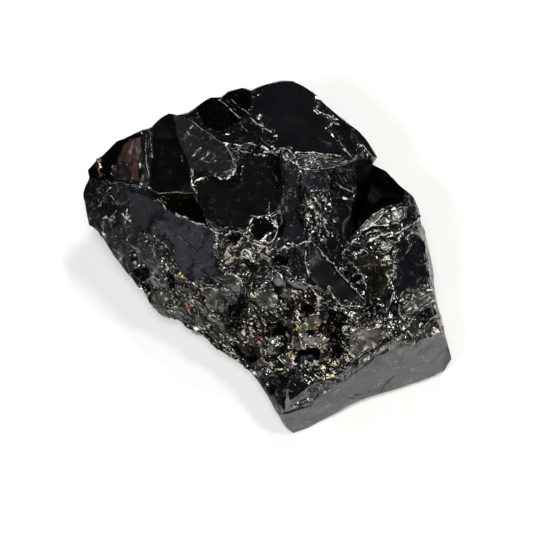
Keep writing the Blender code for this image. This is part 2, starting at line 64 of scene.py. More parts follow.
# Sharp little ridges where splinters and shells end. Along each, the look paints a pale line (a
# painted highlight) with painted shade on its flanks. Each has its half width, its height, and
# its way across and up the face, all in mm.
RIDGES = (
    # the crest below the roof, and the lens under it
    (0.13, 0.22, ((-5.8, 15), (-4.5, 14.8), (-3, 14.6), (-1.9, 14.8), (-0.8, 14.4), (0.4, 14),
                  (2.1, 14.3))),
    (0.12, 0.22, ((-4, 14.3), (-2.9, 13.8), (-1.4, 13.5), (0, 13.7), (1.9, 13.8))),
    (0.10, 0.16, ((-5.4, 14.7), (-4.4, 13.4))),
    (0.10, 0.16, ((-5, 13.9), (-4.3, 12.7))),
    (0.10, 0.18, ((2.1, 14.3), (2.9, 14), (3.6, 13.5))),
    (0.09, 0.16, ((2.2, 13.5), (2.8, 12.8), (3.7, 12.3))),
    (0.14, 0.26, ((3.7, 13.5), (4.6, 13.65), (6.2, 13.65), (8, 13.4), (9.8, 13.1))),
    (0.07, 0.16, ((4.4, 13.2), (6, 13.2), (8.6, 12.9))),
    (0.07, 0.16, ((4.2, 12.8), (5.6, 12.9), (6.8, 12.8))),
    (0.07, 0.16, ((5, 12.5), (7, 12.5), (9.4, 12.5))),
    (0.09, 0.20, ((4.4, 11.5), (5, 11.8), (6, 11.4), (8, 11.5), (10.2, 12.1), (12.1, 12.9))),
    (0.08, 0.18, ((9.9, 12.5), (11.2, 12.6), (12.2, 13.4))),
    # the tongue's scalloped lip
    (0.10, 0.20, ((-9.9, 11.6), (-9.9, 10.4), (-9.7, 9.4), (-9.2, 8.5))),
    (0.10, 0.20, ((-9.7, 9.3), (-9.2, 10), (-8.5, 10.3), (-7.6, 10.6))),
    (0.13, 0.26, ((-6.4, 10.6), (-5.9, 10.3), (-5.1, 10.3), (-4.3, 10.9), (-4.1, 11.9))),
    (0.09, 0.18, ((-5.7, 11), (-5.1, 11.2), (-4.5, 11.5))),
    (0.10, 0.18, ((-4.9, 13.8), (-4.6, 12.8), (-4.1, 12))),
    (0.08, 0.14, ((-8.4, 12.6), (-7.4, 12.4), (-6.6, 12.7))),
    # short strokes on the tongue
    (0.07, 0.16, ((-9.4, 13.6), (-8.7, 14.3))),
    (0.07, 0.14, ((-9.8, 13.2), (-9.2, 13.7))),
    (0.07, 0.14, ((-7.9, 13.2), (-7.3, 13.9))),
    (0.07, 0.16, ((-10.1, 16.9), (-9.7, 17.3))),
    (0.07, 0.14, ((-10.5, 16.5), (-10, 16.1))),
    (0.07, 0.14, ((-11.2, 13.3), (-11, 12.4))),
    (0.08, 0.14, ((-10.3, 18.3), (-9.2, 17.3), (-7.6, 16.2), (-5.9, 15))),
    # thin strokes on the brown break
    (0.08, 0.22, ((9.9, 9.1), (10.6, 8.8), (11.5, 8.4))),
    (0.07, 0.18, ((9, 7.9), (9.3, 7.5))),
    (0.07, 0.18, ((9.2, 9.6), (9.9, 9.2))),
    # the eye and the crossed splinters left of the middle
    (0.20, 0.24, ((-7.2, 3.7), (-6.7, 3.1), (-6.1, 3))),
    (0.16, 0.24, ((-5.2, 2.9), (-4.4, 3.3), (-3.6, 3.2), (-2.9, 2.9))),
    (0.14, 0.20, ((-6.7, 2.8), (-6.2, 2.1), (-5.4, 1.6), (-4.6, 1.2))),
    (0.14, 0.24, ((-1.7, 5), (-2.3, 4), (-2.5, 3.3), (-3.1, 2.5), (-3.7, 1.8), (-4.5, 1.1))),
    (0.12, 0.18, ((-3.2, 2), (-4, 1.2), (-4.6, 0.4))),
    (0.13, 0.18, ((-3, 2.5), (-2.3, 2), (-1.6, 1.5))),
    (0.10, 0.13, ((-1.9, 5.3), (-1.3, 5.2), (0.4, 5.3), (1.5, 6))),
    (0.10, 0.13, ((0.4, 7), (0.4, 5.4), (0.9, 4.6))),
    # the shattered middle
    (0.20, 0.28, ((-3.3, 0.4), (-2.7, 0.9), (-2.2, 0.5), (-1.8, 0))),
    (0.16, 0.24, ((-1.3, 1.6), (-0.6, 1.2), (0.1, 1.1), (0.3, 0.4), (0.8, 0.9))),
    (0.16, 0.22, ((1, 0.3), (1.5, 0.6), (2, 0.9), (2.6, 1.3), (3.1, 1), (3.5, 1.2))),
    (0.16, 0.22, ((3.5, 1.7), (4.3, 1.4), (5.1, 1.8), (6, 1.9))),
    (0.14, 0.20, ((-5.4, -1.1), (-4.2, -0.5), (-3, 0), (-2, -0.1), (-1.3, -1), (-0.7, -1.9))),
    (0.13, 0.18, ((-3.5, -1), (-2.6, -1.4), (-2, -2.2), (-1.2, -2.7))),
    (0.14, 0.20, ((-5.3, -2.1), (-4.6, -2.4), (-3.8, -2.5), (-3, -3))),
    (0.12, 0.16, ((0, -2.8), (0.4, -2.4), (0.7, -2))),
    (0.14, 0.20, ((1.6, -2.2), (2, -2.6), (2.4, -3.3))),
    (0.16, 0.24, ((2.9, -2.8), (3.3, -3.4), (3.9, -3.2), (4.6, -3), (5.2, -3.5))),
    (0.18, 0.24, ((3.5, -4.3), (3.9, -4.9), (4.3, -5.4))),
    (0.18, 0.24, ((5.8, -3.8), (6.2, -4.4), (6.8, -5.1), (7.1, -5.5))),
    (0.12, 0.16, ((-1.6, -3.8), (-1.2, -4.3), (-0.3, -3.7), (-0.1, -4.5))),
    # the arrow's edges
    (0.11, 0.16, ((5.3, 1.6), (5.3, 0.4), (5.2, -0.7), (5.5, -1.6), (5.7, -2.6))),
    (0.14, 0.18, ((6.1, 1.7), (7, 0.7), (8, -0.4), (8.9, -1.4), (9.7, -2.4), (11.3, -4.1),
                  (13, -5.8))),
    (0.13, 0.19, ((8.3, -4.2), (9.1, -5.3), (10, -6.4))),
    (0.13, 0.18, ((10.5, -6.5), (11.6, -6.5), (12.8, -6.6), (14.2, -6.2))),
    # the shattered steps on the right
    (0.10, 0.28, ((12.6, 3.5), (13.5, 4.5), (14.7, 5.5), (15.7, 6.1))),
    (0.10, 0.28, ((12.5, 3.1), (13.5, 3.4), (14.6, 4.3), (15.6, 5.4))),
    (0.20, 0.30, ((14.1, 4), (15.2, 4), (16.2, 4.2))),
    (0.22, 0.30, ((13.4, 1.6), (14.6, 2.2), (15.8, 2.7), (16.8, 3.1))),
    (0.12, 0.24, ((16.6, 4.4), (17.4, 4.5), (18.2, 5.2), (18.3, 6.2))),
    (0.12, 0.24, ((16.6, 5.9), (17.3, 6), (18, 6.2))),
    (0.10, 0.22, ((10, 0.3), (10.7, 0.9), (11.4, 1.7), (12.2, 2.5), (12.6, 2.9))),
    (0.08, 0.20, ((11.5, 1.7), (12.6, 1.5))),
    (0.14, 0.26, ((12.4, 0.7), (12.9, 0.6), (13.4, 0.3))),
    (0.10, 0.22, ((11.6, 0.5), (12, 0.2), (12.5, 0.3))),
    (0.10, 0.24, ((17.2, 2.9), (18, 3.3), (19, 3.9), (20, 4.6), (20.4, 5.4))),
    (0.08, 0.22, ((18.6, 2.4), (19.6, 3.1), (20.6, 3.8))),
    (0.07, 0.20, ((19.3, 1.7), (19, 0.9), (18.5, 0.3))),
    (0.08, 0.20, ((16.3, 2.2), (17, 1.7), (17.8, 2))),
    # the edges down the right side
    (0.12, 0.16, ((17.6, 0.9), (16.9, -0.4), (16.9, -1.5), (17.2, -2.4), (16.6, -3.5), (17, -4.8),
                  (16.8, -5.8), (15.5, -8))),
    (0.13, 0.16, ((21, 2), (21.2, 0), (21.5, -1.6), (21.9, -3.2))),
    (0.16, 0.26, ((18.2, -6.4), (19.6, -5.2), (20.9, -4.6), (22, -4.4))),
    (0.10, 0.20, ((18.6, -7.4), (19.8, -6.5), (21.2, -5.8))),
    (0.09, 0.18, ((19.2, -6.4), (20.4, -5.6), (21.4, -5.2))),
    (0.13, 0.18, ((18.6, -9.6), (19.6, -8), (20.9, -6.6), (22.4, -5.8))),
    (0.13, 0.18, ((20.6, -9.9), (21.6, -8.6), (22.9, -7.6))),
    # the ledges above the end
    (0.14, 0.24, ((3.9, -11), (3.6, -12.2), (3.2, -13.4))),
    (0.09, 0.16, ((4.7, -10.8), (6.2, -10.5), (7.6, -10.5))),
    (0.12, 0.19, ((7.9, -11.5), (7, -11.9), (5.9, -11.9), (4.8, -12.3), (4.7, -11.8), (4.6, -11))),
    (0.08, 0.13, ((1.2, -10.9), (2.2, -10.5), (2.6, -10.8))),
    (0.10, 0.16, ((9.9, -15.2), (10.4, -14.5), (11, -13.8))),
    (0.13, 0.18, ((10.9, -14.9), (12.2, -13.6), (13.6, -12.6), (15.4, -11.5))),
    (0.14, 0.20, ((10.6, -9.6), (11.6, -9.9), (12.6, -9.4), (13.8, -9.8), (15.2, -9.2))),
    # short bright splinters of the crumbly lower part
    (0.14, 0.20, ((3.5, -4.5), (4, -4.6), (4.4, -4.9))),
    (0.10, 0.16, ((3.3, -5.1), (3.8, -5.7))),
    (0.12, 0.16, ((4, -5.2), (4.4, -5.6))),
    (0.10, 0.16, ((5.7, -3.7), (6.3, -4))),
    (0.10, 0.16, ((6.3, -5), (6.9, -5.3))),
    (0.09, 0.14, ((6.8, -5.8), (6.9, -7))),
    (0.13, 0.18, ((5.8, -7.8), (6.2, -7.6), (6.9, -7.5))),
    (0.14, 0.18, ((3.7, -9.5), (4, -10))),
    (0.10, 0.16, ((4.5, -9.4), (4.9, -9.2))),
    (0.10, 0.16, ((4.5, -10), (5.2, -9.9))),
    (0.12, 0.16, ((5.5, -9.6), (6.9, -9.6))),
    (0.09, 0.13, ((0.3, -11.9), (0.7, -11.3), (1.7, -11.2))),
    (0.14, 0.19, ((7.3, -12.7), (7.6, -13))),
    (0.12, 0.18, ((5.9, -14.6), (6.5, -14.4))),
    (0.10, 0.16, ((8.2, -14.1), (9.2, -14))),
    (0.17, 0.19, ((9, -15.9), (9.6, -16.1))),
    (0.12, 0.16, ((11.3, -9.5), (11.6, -10))),
    (0.12, 0.16, ((13.1, -9.8), (13.8, -9.7))),
    (0.09, 0.13, ((10.2, -13), (10.8, -13.2))),
    (0.09, 0.16, ((-12.6, -6.4), (-11.8, -6.9))),
    (0.09, 0.16, ((-12.2, -6.3), (-11.6, -6.7))),
    (0.10, 0.16, ((-12.8, -6.9), (-12.3, -7.4))),
    (0.09, 0.16, ((-11.3, -7.3), (-10.8, -7.9))),
    (0.10, 0.16, ((-10.6, -8.6), (-10.3, -9.1))),
    (0.09, 0.13, ((-15, -2.7), (-14.2, -3.1))),
    (0.09, 0.13, ((-11.9, -3.4), (-11.3, -3.8))),
    (0.12, 0.16, ((-11.1, -5.4), (-11, -5.6))),
    (0.10, 0.16, ((-10.5, -5.6), (-10.4, -5.8))),
    (0.09, 0.14, ((-9.9, -4.5), (-9.7, -4.7))),
    (0.09, 0.14, ((-9.3, -5.5), (-8.6, -5.9))),
    (0.12, 0.16, ((-7.9, -7.3), (-7.7, -7.6))),
    (0.08, 0.13, ((-7.4, -6.9), (-7.3, -7.7), (-6.8, -8.4))),
    (0.09, 0.14, ((-2.6, -4.2), (-2.7, -5))),
    (0.12, 0.16, ((-2.6, -5.3), (-2.4, -5.5))),
    (0.09, 0.16, ((-6.8, -11.5), (-6.2, -11.6))),
    (0.09, 0.16, ((-5.3, -12.8), (-4.5, -13.1))),
    (0.09, 0.16, ((-4.7, -12.3), (-4.2, -12.8))),
    (0.12, 0.16, ((-2.1, -10.5), (-2.3, -11.3))),
    (0.20, 0.16, ((-2, -15), (-1.4, -15.3))),
    (0.08, 0.11, ((-3.6, -7.8), (-3.1, -7.7))),
    # splinters of the striped ridge and chips of the roof's rim
    (0.13, 0.20, ((-6.5, 21), (-5.6, 20.4), (-4.6, 19.5), (-3.6, 18.3))),
    (0.13, 0.20, ((-1.9, 18.2), (-1.2, 17.6), (-0.5, 17.1), (0.6, 16.5))),
    (0.12, 0.18, ((-3.4, 17.4), (-2.9, 16.9), (-2.3, 16.4))),
    (0.12, 0.16, ((-4.6, 20.8), (-3.4, 19.6), (-2.2, 18.9))),
    (0.13, 0.18, ((6.4, 19.6), (7.2, 19), (8.2, 18.7), (9.2, 18.1))),
    (0.14, 0.20, ((8.2, 17), (8.8, 17.6), (9.6, 17.5))),
    (0.12, 0.16, ((9.6, 15.4), (10.2, 14.4), (11.3, 13.2))),
    (0.12, 0.16, ((12.4, 14.9), (13.2, 14.4), (14, 13.2))),
    # the left end and the strip beside the rust
    (0.10, 0.14, ((-16, 16.4), (-16, 14.4), (-15.9, 12.5), (-15.6, 10.6))),
    (0.10, 0.14, ((-15.4, 16.6), (-15.3, 14.8), (-15.2, 13.2))),
    (0.14, 0.20, ((-22.6, 12.9), (-22.1, 12.2), (-22.2, 11.2))),
    (0.06, 0.06, ((-11.8, 2.8), (-10.4, 1.6), (-9, 0.4))),
    (0.14, 0.19, ((-9.6, -3.6), (-8.6, -4.3), (-7.4, -4), (-6.2, -4.4))),
    # cracks: ridges turned inward
    (0.09, -0.04, ((-17.6, 15.6), (-17.9, 14.4), (-18.1, 12.8))),
    (0.07, -0.03, ((-18.4, 15), (-18.9, 13.4))),
    (0.08, -0.04, ((-17.1, 14.6), (-17.3, 12.6), (-17.6, 10.9))),
    (0.12, -0.20, ((4.4, 10.4), (4.6, 9), (4.7, 7.2))),
    (0.26, -0.30, ((11.6, -14.5), (12.3, -13.3), (13.4, -12.8), (14.7, -12.2), (16, -11.1),
                   (17.4, -10.4))),
    (0.12, -0.22, ((10.6, -16.3), (12, -15.2), (13.2, -14.4), (14.4, -13.5), (15.5, -12.9),
                   (16.4, -12.2))),
    (0.09, -0.10, ((15.1, -18.2), (16, -17), (16.9, -16))),
    (0.14, -0.24, ((2.3, -20.9), (3.4, -20.6), (4.6, -20.2), (6, -19.7))),
    (0.12, -0.24, ((5.8, -17), (7.2, -16.4), (8.6, -16.3), (10, -16.5))),
    (0.12, -0.14, ((17, 1.2), (16.8, -0.2), (17.2, -1.8), (17.1, -2.8))),
    (0.10, -0.20, ((-1, -2), (0.4, -1.6), (1.2, -1), (2.9, -0.8))),
    (0.10, -0.20, ((8.3, -0.4), (9.2, -1.4), (10.4, -2.8), (11.8, -4.3))),
    # thin lines on the clean breaks of the left
    (0.08, 0.12, ((-15.6, 9.2), (-14.2, 8.3), (-12, 8.5), (-9.9, 8.3))),
    (0.12, 0.24, ((-12, 5.5), (-11.1, 5.1), (-10.3, 4.9))),
    (0.12, 0.20, ((-10, 4.7), (-9, 4.3), (-7.6, 3.9))),
    (0.08, 0.20, ((-14.6, 7.6), (-13.9, 6.9), (-13.3, 6.2))),
    (0.08, 0.20, ((-14.2, 7.7), (-13.6, 7.2), (-13.2, 6.8))),
    (0.10, 0.26, ((-19, 5.6), (-18.4, 4.9), (-17.8, 4.3))),
    (0.08, 0.22, ((-18.5, 5.6), (-18.3, 5), (-17.9, 4.6))),
    (0.07, 0.14, ((-22.4, 6.5), (-21.9, 7.4), (-21.5, 8.2))),
    (0.07, 0.14, ((-20.7, 5), (-20.3, 5.7), (-19.9, 6.2))),
    (0.08, 0.20, ((-21.4, 8.4), (-20.9, 8.9), (-20.6, 9.2))),
    (0.08, 0.20, ((-20.9, 8.1), (-20.5, 8), (-20.3, 7.6))),
    (0.08, 0.20, ((-17.9, 10.3), (-17.8, 10.8))),
    # hackles of the shattered middle
    (0.08, 0.20, ((-6.2, -1.7), (-5, -0.7), (-3.8, 0.4), (-3, 1.4))),
    (0.08, 0.18, ((-5.8, -0.6), (-4.8, 0.3), (-3.9, 1.2), (-3.3, 1.9))),
    (0.07, 0.18, ((-5.3, 0), (-4.4, 0.9), (-3.8, 1.6))),
    (0.07, 0.16, ((-5, -1.2), (-3.9, -0.4), (-3.2, 0.1))),
    (0.08, 0.18, ((-0.9, 0.4), (-0.1, 0), (0.9, -0.4))),
    (0.07, 0.16, ((-0.8, 0), (0, -0.4), (0.7, -0.8))),
    (0.08, 0.20, ((-1.6, 1.9), (-1, 1.9), (-0.5, 1.6))),
    (0.09, 0.22, ((-5.8, -1.9), (-5, -1.7), (-4.2, -1.3))),
    (0.09, 0.22, ((1.4, -1.4), (2.3, -1.3), (3, -1.4), (3.4, -1.9))),
    (0.10, 0.24, ((2.9, -1.8), (3.4, -2.4), (3.9, -2.9))),
)

# What each break is like: its colour, how much that colour tints what it mirrors, its
# roughness, crumbliness, how far it stands out in mm, and its outline across and up the face.
# Where a near-black colour tints nearly all that a break mirrors, it takes the break's
# reflection away: painted shade, in the wall, the pits, gaps and folds, and the hollow. The pale
# colours of the splints, a break, a ledge, a chip and the box are painted highlights.
ZONES = {
    "roof": ("#131317", 0.0, 0.11, 0.0, 0.0, (
        (-2, 20.8), (2.5, 24), (5.5, 23), (6.6, 20.3), (8.3, 17.3), (9.9, 13.2), (3.6, 13.9), (1.3, 16.4),
        (-0.8, 18.3))),
    "tongue": ("#1a1e21", 0.0, 0.30, 0.1, 0.0, (
        (-12.6, 19.5), (-10.3, 18.4), (-8.5, 16.9), (-5.7, 14.8), (-5, 13), (-4.2, 12.3), (-4, 11.2),
        (-4.8, 10.4), (-6.3, 10.3), (-7.8, 11.5), (-9.2, 11.2), (-10.1, 11.8), (-10.6, 13.2),
        (-11.3, 14.6), (-11.8, 15.8), (-12, 17.5))),
    "black lumps": ("#18181b", 0.9, 0.11, 0.05, 0.0, (
        (-9.5, 20.5), (-5, 23), (-2, 23), (-2, 20), (-3.5, 18), (-6, 16.5), (-8.3, 17.5))),
    # painted shade: the wall's dark colour takes away what it mirrors
    "wall": ("#2b2b2d", 0.85, 0.22, 0.0, 0.0, (
        (-15.3, 17), (-14, 19.5), (-12.6, 19.5), (-12, 17.5), (-11.8, 15.8), (-11.3, 14.6), (-10.6, 13.2),
        (-10.2, 11.8), (-10, 8.5), (-12.5, 8.7), (-14.5, 8.3), (-16, 9.5), (-15.3, 14))),
    "rust": ("#3b1e12", 0.4, 0.45, 0.0, 0.0, (
        (-19.9, 12.4), (-19, 14.6), (-18.2, 15.6), (-16.9, 15.8), (-16.6, 14), (-17, 12), (-17, 10),
        (-17.9, 10.3), (-18, 12.2), (-18.8, 12.6))),
    "tip": ("#070707", 0.7, 0.15, 0.0, 0.0, (
        (-24.6, 9.8), (-23.6, 12.2), (-22, 14.2), (-16.5, 17.4), (-16.6, 15.9), (-18.2, 15.7),
        (-19.1, 14.6), (-20, 12.4), (-20.8, 11), (-20, 10.2))),
    "dark rust": ("#1a0e08", 0.4, 0.30, 0.15, 0.0, (
        (-20.6, 12), (-19.8, 12.6), (-18.6, 12.6), (-18, 12.2), (-18, 10), (-20, 10.2), (-20.8, 11))),
    "strip": ("#1c1f22", 0.3, 0.25, 0.08, 0.0, (
        (-16.5, 16.5), (-15.2, 16.8), (-15.1, 14), (-15.4, 11), (-15.9, 8.6), (-16.6, 9), (-16.5, 12))),
    "wedge": ("#2e3118", 0.9, 0.11, 0.05, 0.0, (
        (-15.6, 8.2), (-13.3, 8.3), (-10, 8.4), (-9.3, 7.5), (-8, 5), (-10, 5), (-12, 5.8), (-13.3, 6.4),
        (-14.6, 7.2))),
    "band": ("#171a1e", 0.0, 0.15, 0.04, 0.0, (
        (-18.5, 9.5), (-16, 8.5), (-12, 5.4), (-8.5, 4.2), (-7, 3.5), (-6.1, 1.5), (-6.1, -1.5),
        (-8, -3.7), (-10.4, -3), (-12.2, -0.5), (-13.8, 2.5), (-16, 3), (-18, 5))),
    "band shoulder": ("#171a1e", 0.38, 0.15, 0.04, 0.0, (
        (-18.8, 9.3), (-16.2, 8.4), (-14.8, 7.3), (-13.4, 6.3), (-13.9, 5), (-14.9, 4), (-16, 3),
        (-18.2, 5))),
    "left end": ("#1b1f22", 0.6, 0.2, 0.2, 0.0, (
        (-25, 8), (-24, 10.5), (-20, 9.6), (-18.6, 9.2), (-18.2, 5), (-20, 5), (-22, 2.6), (-24.5, 5))),
    # painted shade: the dimple's dark colour takes away what it mirrors
    "left dimple": ("#16191c", 0.75, 0.15, 0.05, 0.0, (
        (-22.8, 7), (-21.4, 7.2), (-20.2, 6.9), (-19.6, 6), (-20.4, 5.3), (-22.2, 5.2))),
    "slate patch": ("#0f1215", 0.0, 0.26, 0.15, 0.0, (
        (-22, 2.6), (-18.4, 4.8), (-16, 2.9), (-13.8, 2.3), (-12.3, -0.6), (-13, -3.5), (-16, -4),
        (-20, -0.8))),
    "bloom": ("#2b2a22", 0.2, 0.15, 0.55, 0.0, (
        (-16.2, 3.2), (-14.5, 2.6), (-13, 2.4), (-12.2, 1.2), (-12.2, -0.6), (-11.2, -2.4), (-12.4, -3.4),
        (-13.6, -2), (-14.6, -0.4), (-15.4, 1.2))),
    # painted shade: the pits' near-black takes away what they mirror
    "edge pit": ("#050506", 0.8, 0.11, 0.1, -0.4, (
        (-18.2, 0.6), (-17.4, 0.7), (-17.2, -0.3), (-17.9, -0.6))),
    "lower edge pit": ("#050506", 0.8, 0.11, 0.1, -0.4, (
        (-17.8, -2), (-16.6, -1.4), (-15.5, -1.8), (-15.6, -2.8), (-16.8, -3.4))),
    "lowest edge pit": ("#050506", 0.8, 0.11, 0.1, -0.3, (
        (-16.8, -3.7), (-15.9, -3.5), (-15.4, -4.4), (-16.1, -4.8))),
    "grain": ("#3b3a2c", 0.55, 0.22, 0.7, 0.0, (
        (-16.5, -5), (-13, -3.3), (-10.4, -3), (-8, -3.9), (-8, -7), (-4.5, -8), (-3.3, -6), (-2.3, -9),
        (-1.5, -15), (-4, -15), (-9, -11.5), (-13, -9))),
    "grey facet": ("#191a1c", 0.0, 0.25, 0.20, 0.0, ((-8, -4), (-4, -4), (-3.3, -6), (-4.5, -8), (-8, -7))),
    "window": ("#1d1b17", 0.4, 0.11, 0.03, 0.0, (
        (-9.3, 8), (-8.5, 9.8), (-3.8, 10.2), (-3, 11), (-2.8, 13.3), (0, 13.4), (0.3, 10.5), (1.9, 9.5),
        (2, 6), (0.5, 5.6), (-1.8, 5.5), (-3, 4), (-6, 3.8), (-8, 5))),
    "pillar": ("#1d2228", 0.0, 0.15, 0.10, 0.0, (
        (1.8, 13.4), (4, 13.4), (4.9, 11.5), (4.4, 9.5), (3.8, 5.5), (4.8, 3.8), (5.4, 2.2), (1.5, 1.2),
        (0.9, 2.5), (2.4, 6), (2.2, 9))),
    "column": ("#1d2025", 0.0, 0.15, 0.05, 0.0, ((5, 11.5), (8, 11.4), (8.6, 8.4), (5.2, 8.4))),
    "pitted column": ("#111416", 0.25, 0.15, 0.55, 0.0, (
        (5.2, 8.4), (8.6, 8.4), (9, 2.4), (5.6, 2), (5, 5))),
    "lens": ("#33383b", 0.0, 0.15, 0.2, 0.0, (
        (2.9, 12.9), (3.7, 13.7), (6.5, 13.7), (9.8, 13.2), (11.3, 12.6), (9.7, 12.1), (8, 11.6),
        (5.5, 11.6), (3.9, 12))),
    "crest": ("#1c1c1a", 0.7, 0.15, 0.3, 0.0, (
        (-5.5, 15.2), (-3, 14.9), (0, 14.5), (3.6, 14.4), (3.9, 13.5), (1.5, 13.3), (-2.4, 13.2),
        (-3.5, 14))),
    "brown break": ("#0e0a07", 0.3, 0.11, 0.18, 0.0, (
        (8, 11.5), (11.5, 12.4), (12, 10), (11.5, 6), (9, 5.6), (8.4, 9))),
    # painted shade: the hollow's near-black takes away all it mirrors
    "hollow": ("#0a0a0c", 1.0, 0.35, 0.0, 0.0, (
        (11.9, 12), (14.2, 12.4), (16, 11.5), (18.6, 9), (18.2, 6.8), (15.8, 6.3), (14, 5), (12, 3.5),
        (10.3, 1.2), (10.5, 4), (11.5, 5.8), (12, 8))),
    "steps": ("#0f1113", 0.3, 0.15, 0.22, 0.0, (
        (10.6, 1.2), (12.2, 3.6), (15.6, 6.4), (18.2, 7.2), (20.4, 7), (21.3, 3), (17, 2.6), (13, 1))),
    # painted highlights: the pale colours of the two splints and of the break after them
    "first splint": ("#8a8c88", 0.0, 0.20, 0.30, 0.15, (
        (12.5, 3.1), (13.5, 3.4), (14.6, 4.3), (15.7, 5.5), (15.6, 6.1), (14.7, 5.5), (13.5, 4.5),
        (12.6, 3.5))),
    "second splint": ("#7c7e7a", 0.0, 0.20, 0.30, 0.15, (
        (13.2, 1.4), (14.6, 1.9), (16.5, 2.7), (16.4, 3.2), (14.8, 2.6), (13.4, 1.9))),
    "break with painted highlight": ("#949692", 0.0, 0.20, 0.35, 0.2, (
        (16.7, 4.4), (17.5, 4.6), (18.3, 5.3), (18.2, 6.3), (16.6, 6))),
    # painted shade: the gap's near-black takes away what it mirrors
    "splint gap": ("#0c110f", 0.5, 0.11, 0.05, -0.3, (
        (12.4, 2.4), (13.4, 2.6), (15, 3.1), (16.3, 3.7), (14, 3.6), (13.3, 3.1))),
    "step base": ("#10100d", 0.75, 0.15, 0.25, 0.0, (
        (14.2, 2), (15.8, 2.5), (17, 2.6), (17.2, 1), (16.4, 0.2), (15, 0.2), (14.2, 1))),
    "arrow": ("#111316", 0.0, 0.15, 0.0, 0.0, (
        (5.7, 1.5), (13.2, -5.9), (13, -6.5), (10, -6.5), (8.6, -4.5), (6.5, -3.8), (5.6, -2.8))),
    "fan": ("#0c0d0e", 0.75, 0.15, 0.35, 0.0, (
        (9.7, -1.2), (11.4, -1.2), (13.2, -2.6), (13.2, -4.6), (12.2, -4.4), (10.6, -2.8))),
    "olive break": ("#3a362a", 0.75, 0.15, 0.1, 0.0, (
        (12.8, 0), (16.8, 0.5), (17, -2.3), (16.5, -5), (14, -5.8), (12.5, -2))),
    "slate break": ("#13151a", 0.0, 0.15, 0.04, 0.0, (
        (17.2, 0.8), (20.6, 2.1), (21, 1), (20.9, -0.7), (21.8, -3.3), (18.2, -5.4), (17, -4.8))),
    "right rim": ("#1f2220", 0.0, 0.30, 0.20, 0.0, (
        (21, 2.6), (21.2, 0), (21.9, -3.2), (24, -3), (22.6, 2.6))),
    "right ledges": ("#30322b", 0.0, 0.15, 0.65, 0.0, (
        (17, -5.2), (22, -3.4), (24.5, -9.6), (17.6, -10.6), (15.5, -8))),
    "right shelf": ("#4a514e", 0.0, 0.30, 0.45, 0.15, (
        (18.3, -6.3), (19.6, -5.3), (21.2, -4.6), (22.1, -4.3), (22.2, -5.9), (20.6, -7), (19.6, -7.6),
        (18.4, -8.4))),
    # painted shade: the gully's and the nook's near-black takes away what they mirror
    "right gully": ("#0b0f10", 0.6, 0.12, 0.15, -0.2, (
        (20, -9.2), (20.8, -7.4), (22.3, -6.2), (22.6, -8), (21.6, -9.3), (20.6, -9.6))),
    "ledges": ("#2f2b23", 0.5, 0.15, 0.8, 0.0, (
        (-2.3, -9), (-2, -4), (2, -4.2), (8, -5), (12.8, -7), (16, -8.4), (17, -11), (13, -12.6),
        (9.8, -15.8), (6, -17), (2, -15.8), (-1.5, -15))),
    "right fan": ("#15140f", 0.8, 0.15, 0.6, 0.0, (
        (12.6, -6.2), (15.6, -6.4), (15.8, -8), (13.5, -8.4), (12.4, -7.4))),
    "right nook": ("#120f0f", 0.8, 0.12, 0.2, -0.2, (
        (16.4, -5.8), (18, -6), (18.2, -7.6), (17.2, -8), (16.2, -7.2))),
    # painted highlight: the ledge's pale grey
    "grey ledge": ("#6a675f", 0.0, 0.32, 0.45, 0.0, (
        (11, -10), (14.2, -9.3), (16.2, -10.1), (16, -11.3), (13, -12.6), (11.2, -13.3))),
    # painted shade: the pit's dark colour takes away what it mirrors
    "dark pit": ("#191410", 0.7, 0.11, 0.3, 0.0, (
        (8.2, -7), (10.9, -7.3), (10.4, -10), (9.8, -13.5), (8.6, -13.5), (8.2, -10))),
    "middle": ("#33312b", 0.4, 0.15, 0.5, 0.0, (
        (-6.8, 3.2), (-6, -1.8), (-2, -4), (1.5, -3), (3, 0.4), (1.3, 1), (-1.8, 2.4), (-3, 3.6))),
    # painted shade: the fold's near-black takes away what it mirrors
    "fold": ("#100e10", 0.6, 0.11, 0.0, 0.0, (
        (-1.6, 5), (0.6, 5.2), (2.2, 5.6), (2.7, 4.4), (2.3, 2.6), (1.1, 1.9), (-0.6, 2.2), (-1.8, 2.6),
        (-2.2, 3.6))),
    # painted highlight: the chip's near-white
    "chip with painted highlight": ("#dadad4", 0.0, 0.20, 0.2, 0.0, (
        (-3.2, 0.7), (-2.6, 1.1), (-2.1, 0.9), (-1.8, 0.4), (-1.5, 0), (-2.3, -0.1), (-2.9, 0.3))),
    # painted shade: the near-black of the eyes and the pit takes away what they mirror
    "eye": ("#060605", 0.8, 0.11, 0.0, -0.3, (
        (-5.1, 2.6), (-4.4, 2.9), (-3.3, 2.7), (-3.5, 2.1), (-4.2, 1.6), (-4.9, 1.8))),
    "lower eye": ("#15130d", 0.6, 0.11, 0.05, -0.3, (
        (-3.3, -1), (-2.4, -0.3), (-1.7, -0.5), (-1, -1.6), (-1.4, -2.2), (-2.4, -1.6))),
    "middle pit": ("#070707", 0.8, 0.11, 0.05, -0.3, (
        (0.9, -0.2), (1.9, 0), (3, -0.2), (2.8, -1.1), (1.6, -1.1), (0.9, -0.8))),
    "corner": ("#0b0c10", 0.65, 0.15, 0.15, 0.0, (
        (-2, -16), (2, -15.8), (5, -14), (3, -17), (2.2, -20.7), (1.5, -22), (-0.5, -18.5))),
    "end": ("#464f4b", 0.2, 0.42, 0.1, 0.0, (
        (2.3, -20.9), (5.8, -19.3), (6, -17), (7, -16.4), (9.8, -16), (10.8, -15), (11.4, -13.9),
        (13, -12.8), (14.5, -12.1), (16.5, -11), (18.5, -10.8), (20.5, -10.5), (23.4, -10), (26, -13.8),
        (20, -18), (12, -21), (3.6, -25), (1.8, -22.5))),
    "end lip": ("#353930", 0.0, 0.36, 0.5, 0.0, (
